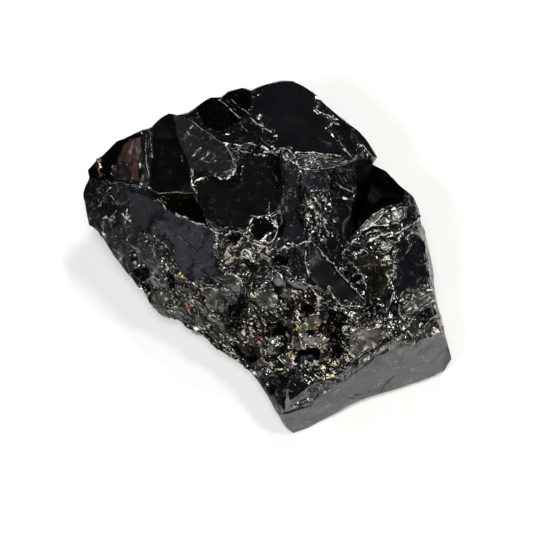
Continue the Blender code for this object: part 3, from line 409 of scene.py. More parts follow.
        (11.4, -14), (13, -13), (14.5, -12.2), (16.5, -11.2), (18.5, -11), (20.5, -10.7), (20.5, -11.6),
        (17, -12.2), (14.4, -13.6), (12, -15.3), (10.6, -16.3), (10.2, -15.8))),
    "end corner": ("#30332e", 0.0, 0.36, 0.45, 0.0, (
        (5.6, -17.6), (6.4, -16.9), (8, -16.5), (10, -16.4), (9.4, -17.6), (7, -18.6), (5.6, -19.8),
        (3.4, -20), (4.6, -19.2), (6, -18.8))),
    "end rim": ("#3c3d36", 0.0, 0.20, 1.0, 0.0, (
        (16.5, -11.3), (18.5, -11.1), (20.5, -10.8), (23.6, -10.2), (23.6, -9.5), (20, -9.8),
        (17.5, -10.1), (16, -10.8))),
    # blocks and pits of the crumbly lower part
    # painted shade: the pits' and the slit's near-black takes away what they mirror
    "upper pit": ("#14130c", 0.9, 0.11, 0.15, -0.9, (
        (4.4, -8.3), (4.7, -6.7), (5.6, -6.2), (6.5, -6.5), (6.6, -7.2), (5.7, -7.6), (5.1, -8.4))),
    "shelf block": ("#6a6850", 0.3, 0.30, 0.30, 0.4, (
        (5, -8.6), (5.7, -7.9), (6.4, -7.7), (7, -8.1), (7.3, -8.9), (6.8, -9.5), (5.3, -9.6),
        (4.9, -9.2))),
    "slit": ("#020202", 1.0, 0.11, 0.0, -0.8, (
        (4.3, -10.5), (4.9, -10.2), (6.4, -9.9), (7.3, -9.8), (7.2, -10.2), (6.3, -10.4), (4.9, -10.7))),
    # painted highlight: the box's pale grey
    "box": ("#98968c", 0.0, 0.15, 0.55, 0.4, (
        (4.6, -10.8), (6.2, -10.6), (7.8, -10.5), (8, -11.8), (6.4, -12), (4.8, -12.3))),
    "slate pit": ("#24262c", 1.0, 0.35, 0.10, -0.7, (
        (4.2, -12.8), (4.9, -12.5), (6.4, -12.1), (7.3, -12.4), (7, -13.4), (6.8, -14), (5.2, -14.1),
        (4.2, -14.7), (3.6, -14))),
    # painted shade: the pit's dark colour takes away all it mirrors
    "left pit": ("#16130a", 1.0, 0.22, 0.10, -0.9, (
        (0, -9.4), (0.7, -9.1), (2, -9.1), (2.5, -9.7), (2.3, -10.3), (1.2, -10.9), (0.1, -10.6))),
    "chip": ("#2c2f31", 0.0, 0.15, 0.30, 0.4, (
        (0.2, -12), (0.7, -11.3), (1.8, -11.2), (2, -12.4), (1.5, -13.2), (0.3, -13.4))),
    "grey face": ("#31312e", 0.0, 0.30, 0.2, 0.2, (
        (-1, -4.6), (0.2, -4.3), (1.4, -4.8), (1.9, -5.8), (1.4, -7), (0, -7.2), (-1.2, -6.6))),
    # painted shade: the hole's near-black takes away what it mirrors
    "hole": ("#0a0a0a", 0.75, 0.11, 0.25, -0.6, (
        (-5.3, -8), (-4.9, -6.9), (-4, -6.3), (-3.3, -5.2), (-2.6, -4.9), (-2.2, -5.8), (-2.6, -6.9),
        (-3.2, -7.3), (-3.4, -8.3), (-4.4, -8.6))),
    "shade": ("#15130f", 0.7, 0.15, 0.30, -0.4, (
        (-5.2, -8.2), (-3.7, -8), (-3.2, -9), (-3.6, -9.9), (-4.9, -9.8))),
    "olive face": ("#3c4030", 0.4, 0.34, 0.20, 0.2, (
        (-15.5, -5.2), (-14.6, -4.5), (-12.8, -4.6), (-12.5, -5.6), (-13.4, -6.6), (-12.6, -7.8),
        (-12.9, -8.4), (-14, -7.6), (-15.2, -6.4))),
    "mauve face": ("#1a1618", 0.0, 0.30, 0.15, 0.2, (
        (-15, -3.1), (-14, -2.6), (-13.2, -2.9), (-13.1, -4), (-14, -4.2), (-14.9, -4.1))),
    # painted shade: the crack's near-black takes away what it mirrors
    "left crack": ("#050505", 0.7, 0.11, 0.10, -0.5, (
        (-13.1, -2.5), (-12.3, -2.4), (-12.2, -4.2), (-12.9, -4.2))),
    "dim face": ("#2d2e2a", 0.0, 0.30, 0.35, 0.2, (
        (-7.9, -4.4), (-6, -4.1), (-4.2, -4.8), (-3.6, -5.8), (-4.9, -6.3), (-5.3, -7.2), (-7, -6.9),
        (-7.9, -6.2))),
    "teal face": ("#222525", 0.0, 0.25, 0.05, 0.1, (
        (-7.4, -2.7), (-5.5, -3.9), (-3.6, -4), (-3, -3.2), (-4, -2.6), (-5.6, -2.3))),
    "low shade": ("#0a0908", 0.9, 0.15, 0.3, -0.3, (
        (-3.2, -11.6), (-1, -12.2), (-0.6, -13.4), (-2, -14.2), (-3.4, -13.4), (-5, -12.4),
        (-4.6, -11.6))),
}
BARE_CRUMBLINESS = 0.08
BARE = ("#090909", 0.0, 0.14, BARE_CRUMBLINESS, 0.0)  # the same, where no break is named


def linear(colour):
    """An sRGB hex colour as linear red, green and blue."""
    parts = [int(colour[i:i + 2], 16) / 255 for i in (1, 3, 5)]
    return np.array([p / 12.92 if p <= 0.04045 else ((p + 0.055) / 1.055) ** 2.4 for p in parts])


def inside_by(spots, outline):
    """How far each spot is inside an outline, in mm, negative outside it."""
    inside = np.zeros(len(spots), dtype=bool)
    nearest = np.full(len(spots), np.inf)
    ends = np.array(outline, float)
    for start, end in zip(ends, np.roll(ends, -1, axis=0)):
        way = end - start
        along = np.clip(((spots - start) @ way) / (way @ way), 0, 1)
        nearest = np.minimum(nearest, np.linalg.norm(spots - start - along[:, None] * way, axis=1))
        straddles = (start[1] > spots[:, 1]) != (end[1] > spots[:, 1])
        if way[1]:
            crossing = start[0] + (spots[:, 1] - start[1]) / way[1] * way[0]
            inside ^= straddles & (spots[:, 0] < crossing)
    return np.where(inside, nearest, -nearest)


def close_to(spots, outline, margin):
    """Which spots are in the box round an outline, or by it."""
    ends = np.array(outline, float)
    inside = (spots > ends.min(axis=0) - margin) & (spots < ends.max(axis=0) + margin)
    return np.flatnonzero(inside.all(axis=1))


RAGGED = 0.11  # how far outlines and ridges stray, in mm
RAGGED_SEED = 5
STRAYS = ((1.25, 0, 1.0), (0.417, 7, 0.7))  # each stray's width in mm, layer of noise and share
noise.seed_set(RAGGED_SEED)


def ragged(spots):
    """The spots, each moved a little, so that outlines and ridges run ragged."""
    moves = 0
    for width, layer, share in STRAYS:
        moves = moves + share * np.array([noise.noise_vector((*spot, layer)) for spot in spots / width])
    return spots + RAGGED * moves[:, :2]


RIDGE_REACH = 0.36  # how far a ridge's own fine mesh reaches, in mm
FULL_HIGHLIGHT_HEIGHT = 0.30  # a ridge this high gets its painted highlight along its whole length
WELL_AWAY = 2.0  # a spot this far from a ridge's box has nothing to do with it, in mm
FAR_ASIDE = 9.0  # stands for no ridge near, in half widths


def nearest_ridge(spots):
    """For each spot of the face: how high the ridges raise it, which side of the nearest one
    it is on and how far in half widths, how strong that one is, and how far in mm."""
    raised = np.zeros(len(spots))
    beside = np.full(len(spots), FAR_ASIDE)
    strength = np.zeros(len(spots))
    nearest = np.full(len(spots), np.inf)
    for half_width, height, way in RIDGES:
        ends = np.array(way, float)
        close = close_to(spots, way, WELL_AWAY)
        near = np.full(len(close), np.inf)
        side = np.ones(len(close))
        past = np.zeros(len(close), dtype=bool)
        for k, (start, end) in enumerate(zip(ends, ends[1:])):
            step = end - start
            off = spots[close] - start
            along = (off @ step) / (step @ step)
            far = np.linalg.norm(off - np.clip(along, 0, 1)[:, None] * step, axis=1)
            nearer = far < near
            near[nearer] = far[nearer]
            side[nearer] = np.sign(step[0] * off[nearer, 1] - step[1] * off[nearer, 0])
            last = k == len(ends) - 2
            past[nearer] = ((along[nearer] < 0) & (k == 0)) | ((along[nearer] > 1) & last)
        swell = height * np.exp(-((near / half_width) ** 2))
        raised[close] = np.where(abs(swell) > abs(raised[close]), swell, raised[close])
        nearest_yet = near < nearest[close]
        chosen = close[nearest_yet]
        beside[chosen] = (side * near)[nearest_yet] / half_width
        full = np.clip(height / FULL_HIGHLIGHT_HEIGHT, -1, 1)
        strength[chosen] = np.where(past | (near > RIDGE_REACH), 0, full)[nearest_yet]
        nearest[chosen] = near[nearest_yet]
    return raised, beside, strength, nearest


ZONE_REACH = 0.22  # how far the fine mesh reaches from the edge of a break, in mm
ZONE_MARGIN = 1.0  # a spot this far from a break's box is not by its edge, in mm


def breaks_at(spots):
    """Whether each spot of the face is by the edge of a break, and how crumbly it is there."""
    by_edge = np.zeros(len(spots), dtype=bool)
    crumbly = np.full(len(spots), BARE_CRUMBLINESS)
    for *_, crumbliness, lift, outline in ZONES.values():
        close = close_to(spots, outline, ZONE_MARGIN)
        inside = inside_by(spots[close], outline)
        by_edge[close] |= abs(inside) < (RIDGE_REACH if lift else ZONE_REACH)
        crumbly[close[inside > 0]] = crumbliness
    return by_edge, crumbly


SAME_PLACE = 1e-7  # corners of the solid this close together are one, in m
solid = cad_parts["nugget"]
worked = bmesh.new()
worked.from_mesh(solid.data)
bmesh.ops.remove_doubles(worked, verts=worked.verts[:], dist=SAME_PLACE)
bmesh.ops.triangulate(worked, faces=worked.faces[:])
worked.verts.index_update()
place = np.array([vert.co[:] for vert in worked.verts])
corners = np.array([[vert.index for vert in face.verts] for face in worked.faces])
worked.free()
place = (place / MM - FACE_MIDDLE) @ TO_FACE.T

TINY = 1e-9  # less than any length here, so that nothing is divided by zero


def lengths_of(vectors):
    """How long each vector is, as a column."""
    return np.maximum(np.linalg.norm(vectors, axis=1, keepdims=True), TINY)


def face_facings(place):
    """Each triangle's outward direction and its area."""
    first, second, third = (place[corners[:, k]] for k in range(3))
    across = np.cross(second - first, third - first)
    double = lengths_of(across)
    return across / double, double / 2


def sides_of(corners):
    """Each side of the triangles once, by its two ends, and which three each triangle has."""
    sides = np.concatenate([corners[:, (0, 1)], corners[:, (1, 2)], corners[:, (2, 0)]])
    sides = np.sort(sides, axis=1)
    count = corners.max() + 1
    keys, which = np.unique(sides[:, 0] * count + sides[:, 1], return_inverse=True)
    return np.stack([keys // count, keys % count], axis=1), which.reshape(3, -1).T


def halved(place, corners, long):
    """The places and the triangles, with each long side halved and each triangle cut to fit."""
    ends, which = sides_of(corners)
    halfway = np.full(len(ends), -1)
    halfway[long] = len(place) + np.arange(np.count_nonzero(long))
    place = np.concatenate([place, place[ends[long]].mean(axis=1)])
    cut = halfway[which] >= 0
    count = cut.sum(axis=1)
    turn = np.where(count == 1, cut.argmax(axis=1), np.where(count == 2, cut.argmin(axis=1) + 1, 0))
    order = (turn[:, None] + np.arange(3)) % 3
    a, b, c = np.take_along_axis(corners, order, axis=1).T
    ab, bc, ca = np.take_along_axis(halfway[which], order, axis=1).T
    shorter = np.linalg.norm(place[a] - place[bc], axis=1) < np.linalg.norm(place[ab] - place[c], axis=1)
    one, two, three = count == 1, count == 2, count == 3
    fits = (
        (count == 0, a, b, c),
        (one, a, ab, c), (one, ab, b, c),
        (two, ab, b, bc),
        (two & shorter, a, ab, bc), (two & shorter, a, bc, c),
        (two & ~shorter, a, ab, c), (two & ~shorter, ab, bc, c),
        (three, a, ab, ca), (three, ab, b, bc), (three, ca, bc, c), (three, ab, bc, ca),
    )
    return place, np.concatenate([np.stack(ring, axis=1)[fit] for fit, *ring in fits])


# The solid's own surface is cut finer: most at the ridges, less where the stone is crumbly,
# less again on a clean break, and least on the sides that lean away.
RIDGE_EDGE = 0.19  # the longest triangle side, in mm
CRUMBLY_EDGE = 0.34
CLEAN_EDGE = 0.64
HIDDEN_EDGE = 1.00
CRUMBLY_FROM = 0.25
LEANS_AWAY = 0.05
CUTS = 5  # how often what is too long is halved
for _ in range(CUTS):
    ends, which = sides_of(corners)
    spots = ragged(place[ends].mean(axis=1)[:, :2])
    by_edge, crumbly = breaks_at(spots)
    ridged = (nearest_ridge(spots)[3] < RIDGE_REACH) | by_edge
    limit = np.where(crumbly > CRUMBLY_FROM, CRUMBLY_EDGE, CLEAN_EDGE)
    limit[ridged] = RIDGE_EDGE
    outward = face_facings(place)[0][:, 2]
    leans = np.full(len(ends), -1.0)
    for k in range(3):
        np.maximum.at(leans, which[:, k], outward)
    limit[leans <= LEANS_AWAY] = HIDDEN_EDGE
    lengths = np.linalg.norm(place[ends[:, 0]] - place[ends[:, 1]], axis=1)
    place, corners = halved(place, corners, lengths > limit)


def gather(corner, values, count):
    """Sum a vector of each triangle at one of its corners."""
    sums = [np.bincount(corners[:, corner], values[:, axis], count) for axis in range(3)]
    return np.stack(sums, axis=1)


def vertex_facings(place):
    """Each place's outward direction."""
    facing, size = face_facings(place)
    total = sum(gather(corner, facing * size, len(place)) for corner in range(3))
    return total / lengths_of(total)


def neighbours():
    """The three triangles beside each triangle."""
    which = sides_of(corners)[1]
    one, other = np.argsort(which, axis=None, kind="stable").reshape(-1, 2).T
    beside = np.empty(which.size, dtype=int)
    beside[one] = other // 3
    beside[other] = one // 3
    return beside.reshape(which.shape)


ROUNDS = 10  # how often a triangle takes over its neighbours' direction
MOVES = 8
LIKENESS = 0.30  # directions further apart than this are two breaks, not one
FURTHEST_MOVE = 0.25  # how far evening out may move a place, in mm


def even_out(place):
    """Even out each break by its neighbours' directions, and keep the edges between breaks."""
    beside = neighbours()
    facing, size = face_facings(place)
    for _ in range(ROUNDS):
        total = facing * size
        for k in range(3):
            other = facing[beside[:, k]]
            apart = ((facing - other) ** 2).sum(axis=1, keepdims=True)
            total = total + other * size[beside[:, k]] * np.exp(-apart / (2 * LIKENESS**2))
        facing = total / lengths_of(total)
    count = np.bincount(corners.ravel(), minlength=len(place))[:, None]
    start = place
    for _ in range(MOVES):
        middle = place[corners].mean(axis=1)
        push = np.zeros_like(place)
        for k in range(3):
            gap = ((middle - place[corners[:, k]]) * facing).sum(axis=1, keepdims=True)
            push += gather(k, facing * gap, len(place))
        place = place + push / count
    move = place - start
    return start + move * np.minimum(1.0, FURTHEST_MOVE / lengths_of(move))


BED_MARGIN = 0.02  # up to this height a place is on the bed and stays there, in mm
FREE_HEIGHT = 1.5  # from this height on the chips have their full depth, in mm
SEEN_EDGEWISE = 0.6  # how much of the face's looks a side has that stands square to the face
SEEN_RISE = 6  # and how fast that changes as the side leans
INLAND_EDGEWISE = -0.45  # the same for the chips' depth, so that the outline keeps its shape
INLAND_RISE = 3
INLAND_LEAST = 0.25
height_above_bed = (place @ TO_FACE)[:, 2]
free = np.clip(height_above_bed / FREE_HEIGHT, 0, 1)
place = place + (even_out(place) - place) * (height_above_bed > BED_MARGIN)[:, None]
facing = vertex_facings(place)
seen = np.clip(facing[:, 2] * SEEN_RISE + SEEN_EDGEWISE, 0, 1)
inland = np.clip(facing[:, 2] * INLAND_RISE + INLAND_EDGEWISE, INLAND_LEAST, 1)


def look_of(colour, *others):
    """The numbers of a look: its colour's three, and the others as they are."""
    return np.array((*linear(colour), *others))


# The look of each break goes onto the places inside its outline.
ZONE_EDGE = 0.16  # how softly one break's look gives way to the next, in mm
RUSTED = {"rust": 0.85, "dark rust": 0.6}  # how thickly rust lies on them
spots = ragged(place[:, :2])
look = np.tile(look_of(*BARE, 0), (len(place), 1))
for name, (*given, outline) in ZONES.items():
    share = np.clip(inside_by(spots, outline) / ZONE_EDGE + 0.5, 0, 1) * seen
    look += share[:, None] * (look_of(*given, RUSTED.get(name, 0)) - look)
tint = look[:, :3]
metal, rough, crumbly, lifted, stained = look[:, 3:].T

# Specks of rust and of pale bloom: their colours, each with the radius and the place across
# and up the face of its specks. A speck is full up to half its radius.
SPECKS = {
    "#d9b469": ((0.30, (-22.2, 12.6)), (0.22, (-22.3, 11.6)), (0.18, (-22.6, 12.0)), (0.16, (-21.9, 11.9))),
    "#b98a2c": ((0.20, (-22.0, 10.9)), (0.16, (-22.4, 10.4)), (0.14, (-22.0, 13.0))),
    "#c86a28": ((0.34, (-10.5, -6.5)),),
    "#9c5a2c": ((0.26, (-10.0, -6.8)),),
    "#e6dc98": ((0.28, (-11.1, -2.7)),),
    "#cfc48a": ((0.20, (-11.5, -2.3)),),
    "#bdb37c": ((0.20, (-10.8, -3.0)),),
    "#7e3a1c": ((0.42, (-1.1, -10.9)),),
    "#6a3018": ((0.38, (-1.3, -11.3)),),
    "#8a3a28": ((0.28, (0.45, 0.85)),),
    "#c8a868": ((0.28, (3.75, -10.9)), (0.28, (3.45, -12.3))),
    "#d8c088": ((0.30, (3.6, -11.6)),),
    "#e6d6a0": ((0.32, (3.2, -12.9)),),
    "#a07850": ((0.26, (3.1, -13.5)),),
    "#b88a4c": ((0.28, (7.2, -8.5)), (0.26, (7.0, -9.1))),
    "#a87c48": ((0.24, (6.6, -9.5)),),
    "#c9b070": ((0.24, (6.0, -9.6)),),
    "#b9822c": ((0.22, (-7.6, -9.4)),),
    "#e8e8e0": ((0.36, (-1.5, -15.5)),),
    "#c8c6b8": ((0.22, (-17.5, -0.9)), (0.18, (-16.4, -3.6))),
}
for colour, specks in SPECKS.items():
    for radius, spot in specks:
        share = np.clip(2 - 2 * np.linalg.norm(spots - spot, axis=1) / radius, 0, 1) * seen
        tint += share[:, None] * (linear(colour) - tint)
        stained = np.maximum(stained, share)

# The way the splinters lie: on most of the face, and in the parts of it that differ. The small
# chips are stretched along them.
FALLING = radians(-44)
SLANTS = (
    (36, ((-7, 3.5), (-6, -3), (0, -2.5), (1.5, 2), (-1, 4.5))),
    (36, ((10, 0), (12, -1.5), (23, 0.5), (22, 8), (15, 8))),
    (34, ((17, -4), (17, -9), (25, -10), (25, -2))),
    (80, ((-21, 9.8), (-21, 17), (-12.2, 20), (-12.2, 9))),
    (2, ((2.9, 14), (2.9, 11.4), (11.6, 11.4), (11.6, 14))),
    (-62, ((5, 8.6), (5, 2), (9, 2), (9, 8.6))),
    (48, ((2.3, -20.9), (6, -17), (9.8, -16), (13, -12.8), (16.5, -11), (26, -10), (26, -25), (2, -25))),
)
SPLINTER_STRETCH = 4.0
slant = np.full(len(place), FALLING)
for angle, outline in SLANTS:
    slant[inside_by(place[:, :2], outline) > 0] = radians(angle)
along = place[:, 0] * np.cos(slant) + place[:, 1] * np.sin(slant)
across = place[:, 1] * np.cos(slant) - place[:, 0] * np.sin(slant)
splinters = np.stack([along / SPLINTER_STRETCH, across, place[:, 2]], axis=1)

# The sides that lean away are hackly in patches, and between them clean, with slate and olive
# films.
HACKLE = 0.80  # how crumbly they are at most
HACKLE_WIDTH = 5.0  # how wide their patches are, in mm
HACKLE_LEVEL = 0.35  # about how crumbly they are on average
HACKLE_CONTRAST = 2.6  # and how much that varies
FILMS = {"#1b1f24": 10, "#1d1a12": 20}  # each film's colour, and its layer of noise
FILM_WIDTH = 7.0
FILM_LEVEL = -0.3  # below 0, so that each film covers less than half
FILM_CONTRAST = 6  # how sharply a film ends


def patches_at(place, width, layer=0):
    """A slow random value at each place, about as wide as given in mm."""
    return np.array([noise.noise(Vector(spot) / width + Vector((0, 0, layer))) for spot in place])


hackly = patches_at(place, HACKLE_WIDTH) * HACKLE_CONTRAST + HACKLE_LEVEL
crumbly += (1 - seen) * (np.clip(hackly, 0, HACKLE) - crumbly)
for film, layer in FILMS.items():
    filmed = patches_at(place, FILM_WIDTH, layer) * FILM_CONTRAST + FILM_LEVEL
    tint += ((1 - seen) * np.clip(filmed, 0, 1))[:, None] * (linear(film) - tint)

raised, beside_ridge, strength, _ = nearest_ridge(spots)
place = place + facing * ((raised * seen + lifted) * free)[:, None]


def write(mesh, name, values, kind="FLOAT", field="value"):
    """Write an attribute of the mesh's places."""
    layer = mesh.attributes.new(name, kind, "POINT")
    layer.data.foreach_set(field, values.astype(np.float32).ravel())


skin = bpy.data.meshes.new("nugget_stone")
skin.from_pydata(((place @ TO_FACE + FACE_MIDDLE) * MM).tolist(), [], corners.tolist())
skin.shade_smooth()
looks = {
    "crumbly": crumbly,
    "metal": metal,
    "roughness": rough,
    "free": free * inland,
    "beside_ridge": beside_ridge,
    "stain": stained,
    "ridge": strength * seen,
}
for name, values in looks.items():
    write(skin, name, values)
write(skin, "tint", np.concatenate([tint, np.ones((len(tint), 1))], axis=1), "FLOAT_COLOR", "color")
write(skin, "splinters", splinters, "FLOAT_VECTOR", "vector")
nugget = bpy.data.objects.new("nugget_stone", skin)
bpy.context.scene.collection.objects.link(nugget)


def emptied(owner):
    """The node tree of a material or a world, with nothing in it."""
    owner.use_nodes = True
    owner.node_tree.nodes.clear()
    return owner.node_tree


def add(tree, kind, inputs=(), **settings):
    """Add a node with its settings and links, and give its outputs. The inputs come in the
    sockets' order, or by their names or numbers. Each is another node's output, or a value."""
    node = tree.nodes.new(kind)
    for key, value in settings.items():
        setattr(node, key, value)
    for key, source in inputs.items() if isinstance(inputs, dict) else enumerate(inputs):
        if isinstance(source, bpy.types.NodeSocket):
            tree.links.new(source, node.inputs[key])
        else:
            node.inputs[key].default_value = source
    return node.outputs


CENTRE = (0.5, 0.5, 0.5)  # the middle of a noise's or a cell's three random values
LEVEL_SHARE = (0.2, 0.2, 0.2)  # how much of a chip's tilt is a level of its own


def chips(tree, where, scale, depth):
    """Flat chips side by side, each with a tilt and a level of its own: how high each place is."""
    cell = add(tree, "ShaderNodeTexVoronoi", {"Vector": where, "Scale": scale})
    off = add(tree, "ShaderNodeVectorMath", (where, cell["Position"]), operation="SUBTRACT")[0]
    tilt = add(tree, "ShaderNodeVectorMath", (cell["Color"], CENTRE), operation="SUBTRACT")[0]
    rise = add(tree, "ShaderNodeVectorMath", (off, tilt), operation="DOT_PRODUCT")["Value"]
    rise = add(tree, "ShaderNodeMath", (rise, scale), operation="MULTIPLY")[0]
    level = add(tree, "ShaderNodeVectorMath", (tilt, LEVEL_SHARE), operation="DOT_PRODUCT")["Value"]
    rise = add(tree, "ShaderNodeMath", (rise, level), operation="ADD")[0]
    return add(tree, "ShaderNodeMath", (rise, depth), operation="MULTIPLY")[0]


# Noble shungite, nearly all carbon, as it broke and never polished. The eye gets near-black
# with sharp grey and white reflections on its glassy breaks, olive and brown films in places,
# and a splintery sparkle where it is crumbly. The pale lines on ridges, edges, streaks and gaps
# are painted highlights, and the dark gaps, halos and flanks are painted shade.
CARBON_IOR = 2.05
VARIATIONS = {  # how wide each is in mm, its detail and its roughness
    "patches": (2.6, 2, 0.5),  # where it is more crumbly and less
    "bloom": (0.9, 1, 0.5),  # which gaps get a painted highlight and which painted shade
    "swell": (2.5, 3, 0.55),
    "grains": (0.3, 2, 0.6),
    "shade": (3.0, 5, 0.65),
    "dashes": (0.7, 3, 0.8),  # how a ridge's painted highlight breaks off
    "gilt": (1.8, 1, 0.5),  # where a painted highlight is yellowish
}
stone = bpy.data.materials.new("glassy shungite, natural breaks")
tree = emptied(stone)
where = add(tree, "ShaderNodeTexCoord")["Object"]
splintery = add(tree, "ShaderNodeAttribute", attribute_name="splinters")["Vector"]
zone_tint = add(tree, "ShaderNodeAttribute", attribute_name="tint")["Color"]
here = {
    name: add(tree, "ShaderNodeAttribute", attribute_name=name)["Fac"]
    for name in ("crumbly", "metal", "roughness", "beside_ridge", "stain", "ridge", "sharpness")
}
vary = {
    name: add(tree, "ShaderNodeTexNoise", {
        "Vector": where, "Scale": 1 / (width * MM), "Detail": detail, "Roughness": roughness})["Fac"]
    for name, (width, detail, roughness) in VARIATIONS.items()
}

# how crumbly, and the wavering way of the splinters; widths in mm, across the splinters
WARP_WIDTH = 1.6
STREAK_WIDTH = 0.24
PATCHINESS = {"From Min": 0.38, "From Max": 0.58, "To Min": 0.35, "To Max": 1.25}
patches = add(tree, "ShaderNodeMapRange", {"Value": vary["patches"], **PATCHINESS})[0]
crumbliness = add(tree, "ShaderNodeMath", (here["crumbly"], patches), operation="MULTIPLY")[0]
warp = add(tree, "ShaderNodeTexNoise", {"Vector": splintery, "Scale": 1 / WARP_WIDTH, "Detail": 1})["Color"]
warp = add(tree, "ShaderNodeVectorMath", (warp, CENTRE), operation="SUBTRACT")[0]
splintery = add(tree, "ShaderNodeVectorMath", (splintery, warp), operation="ADD")[0]
streaks = add(tree, "ShaderNodeTexNoise", {
    "Vector": splintery, "Scale": 1 / STREAK_WIDTH, "Detail": 2, "Roughness": 0.6})["Fac"]

# splinters side by side: each with a tone of its own, and a painted highlight or painted shade in
# the gaps between them; a mix takes its share at 0, and its two numbers at 2 and 3 or its two
# colours at 6 and 7
SPLINTER_WIDTH = 0.8
side_by_side = {"Vector": splintery, "Scale": 1 / SPLINTER_WIDTH}
cells = add(tree, "ShaderNodeTexVoronoi", side_by_side)["Color"]
cells = add(tree, "ShaderNodeSeparateColor", (cells,))[0]
cells = add(tree, "ShaderNodeMapRange", {"Value": cells, "To Min": 0.2, "To Max": 1.6})[0]
cells = add(tree, "ShaderNodeMix", {0: crumbliness, 2: 1, 3: cells})[0]
gaps = add(tree, "ShaderNodeTexVoronoi", side_by_side, feature="DISTANCE_TO_EDGE")[0]
gaps = add(tree, "ShaderNodeMapRange", {
    "Value": gaps, "From Min": 0.08, "From Max": 0.03}, interpolation_type="SMOOTHSTEP")[0]
gaps = add(tree, "ShaderNodeMath", (gaps, crumbliness), operation="MULTIPLY")[0]
painted_gap_highlights = add(tree, "ShaderNodeMapRange", {
    "Value": vary["bloom"], "From Min": 0.56, "From Max": 0.62, "To Max": gaps})[0]
painted_gap_shade = add(tree, "ShaderNodeMapRange", {
    "Value": vary["bloom"], "From Min": 0.50, "From Max": 0.44, "To Max": gaps})[0]

# relief too fine for the mesh, in mm: chips, streaks, a slow swell and a fine grain
FINE_CHIP_WIDTH, FINE_CHIP_DEPTH = 0.45, 0.22
FINEST_CHIP_WIDTH, FINEST_CHIP_DEPTH = 0.24, 0.07
STREAK_DEPTH = 0.10
SWELL_DEPTH = 0.06
GRAIN_DEPTH = 0.02
fine = chips(tree, splintery, 1 / FINE_CHIP_WIDTH, FINE_CHIP_DEPTH)
finest = chips(tree, splintery, 1 / FINEST_CHIP_WIDTH, FINEST_CHIP_DEPTH)
broken = add(tree, "ShaderNodeMath", (fine, finest), operation="ADD")[0]
broken = add(tree, "ShaderNodeMath", (streaks, STREAK_DEPTH, broken), operation="MULTIPLY_ADD")[0]
height = add(tree, "ShaderNodeMath", (broken, crumbliness), operation="MULTIPLY")[0]
for part, depth in ((vary["swell"], SWELL_DEPTH), (vary["grains"], GRAIN_DEPTH)):
    height = add(tree, "ShaderNodeMath", (part, depth, height), operation="MULTIPLY_ADD")[0]
bump = add(tree, "ShaderNodeBump", {"Height": height, "Distance": MM, "Strength": 1})[0]

# the film's own colour, patchy and streaked
shade = add(tree, "ShaderNodeMapRange", {
    "Value": vary["shade"], "From Min": 0.3, "From Max": 0.7, "To Min": 0.25, "To Max": 0.9})[0]
grained = add(tree, "ShaderNodeMapRange", {
    "Value": streaks, "From Min": 0.35, "From Max": 0.65, "To Min": 0.6, "To Max": 1.4})[0]
base = zone_tint
for factor in (shade, cells, grained):
    base = add(tree, "ShaderNodeVectorMath", {0: base, "Scale": factor}, operation="SCALE")[0]

# a ridge's painted highlight: a pale line of uneven width that breaks off, with painted shade on its flanks,
# also beside a crack; in half widths
dashes = add(tree, "ShaderNodeMapRange", {
    "Value": vary["dashes"], "From Min": 0.36, "From Max": 0.62, "To Min": 0, "To Max": 0.85})[0]
beside = add(tree, "ShaderNodeMath", (here["beside_ridge"],), operation="ABSOLUTE")[0]
line = add(tree, "ShaderNodeMath", (dashes, beside), operation="SUBTRACT")[0]
line = add(tree, "ShaderNodeMapRange", {
    "Value": line, "From Min": 0, "From Max": 0.25}, interpolation_type="SMOOTHSTEP")[0]
pale = add(tree, "ShaderNodeMath", (line, here["ridge"]), operation="MULTIPLY", use_clamp=True)[0]
flank = add(tree, "ShaderNodeMapRange", {
    "Value": beside, "From Min": 1.8, "From Max": 1}, interpolation_type="SMOOTHSTEP")[0]
painted_flank_shade = add(tree, "ShaderNodeMath", (here["ridge"],), operation="ABSOLUTE")[0]
painted_flank_shade = add(tree, "ShaderNodeMath", (flank, painted_flank_shade), operation="MULTIPLY", use_clamp=True)[0]

# painted highlights on the highest streaks and edges, and painted shade round them
CRUMBLY_GLINTS = 0.20  # how much further the painted highlights spread where it is crumbly
EDGE_GLINTS = 0.08  # and on an edge that stands out
bright = add(tree, "ShaderNodeMath", (crumbliness, CRUMBLY_GLINTS, streaks), operation="MULTIPLY_ADD")[0]
bright = add(tree, "ShaderNodeMath", (here["sharpness"], EDGE_GLINTS, bright), operation="MULTIPLY_ADD")[0]
painted_glints = add(tree, "ShaderNodeMapRange", {
    "Value": bright, "From Min": 0.785, "From Max": 0.82}, interpolation_type="SMOOTHSTEP")[0]
painted_glints = add(tree, "ShaderNodeMath", (painted_glints, painted_gap_highlights), operation="MAXIMUM")[0]
pale = add(tree, "ShaderNodeMath", (pale, painted_glints), operation="MAXIMUM")[0]
dim = add(tree, "ShaderNodeMapRange", {
    "Value": bright, "From Min": 0.67, "From Max": 0.73}, interpolation_type="SMOOTHSTEP")[0]
for other in (painted_gap_shade, painted_flank_shade):
    dim = add(tree, "ShaderNodeMath", (dim, other), operation="MAXIMUM")[0]

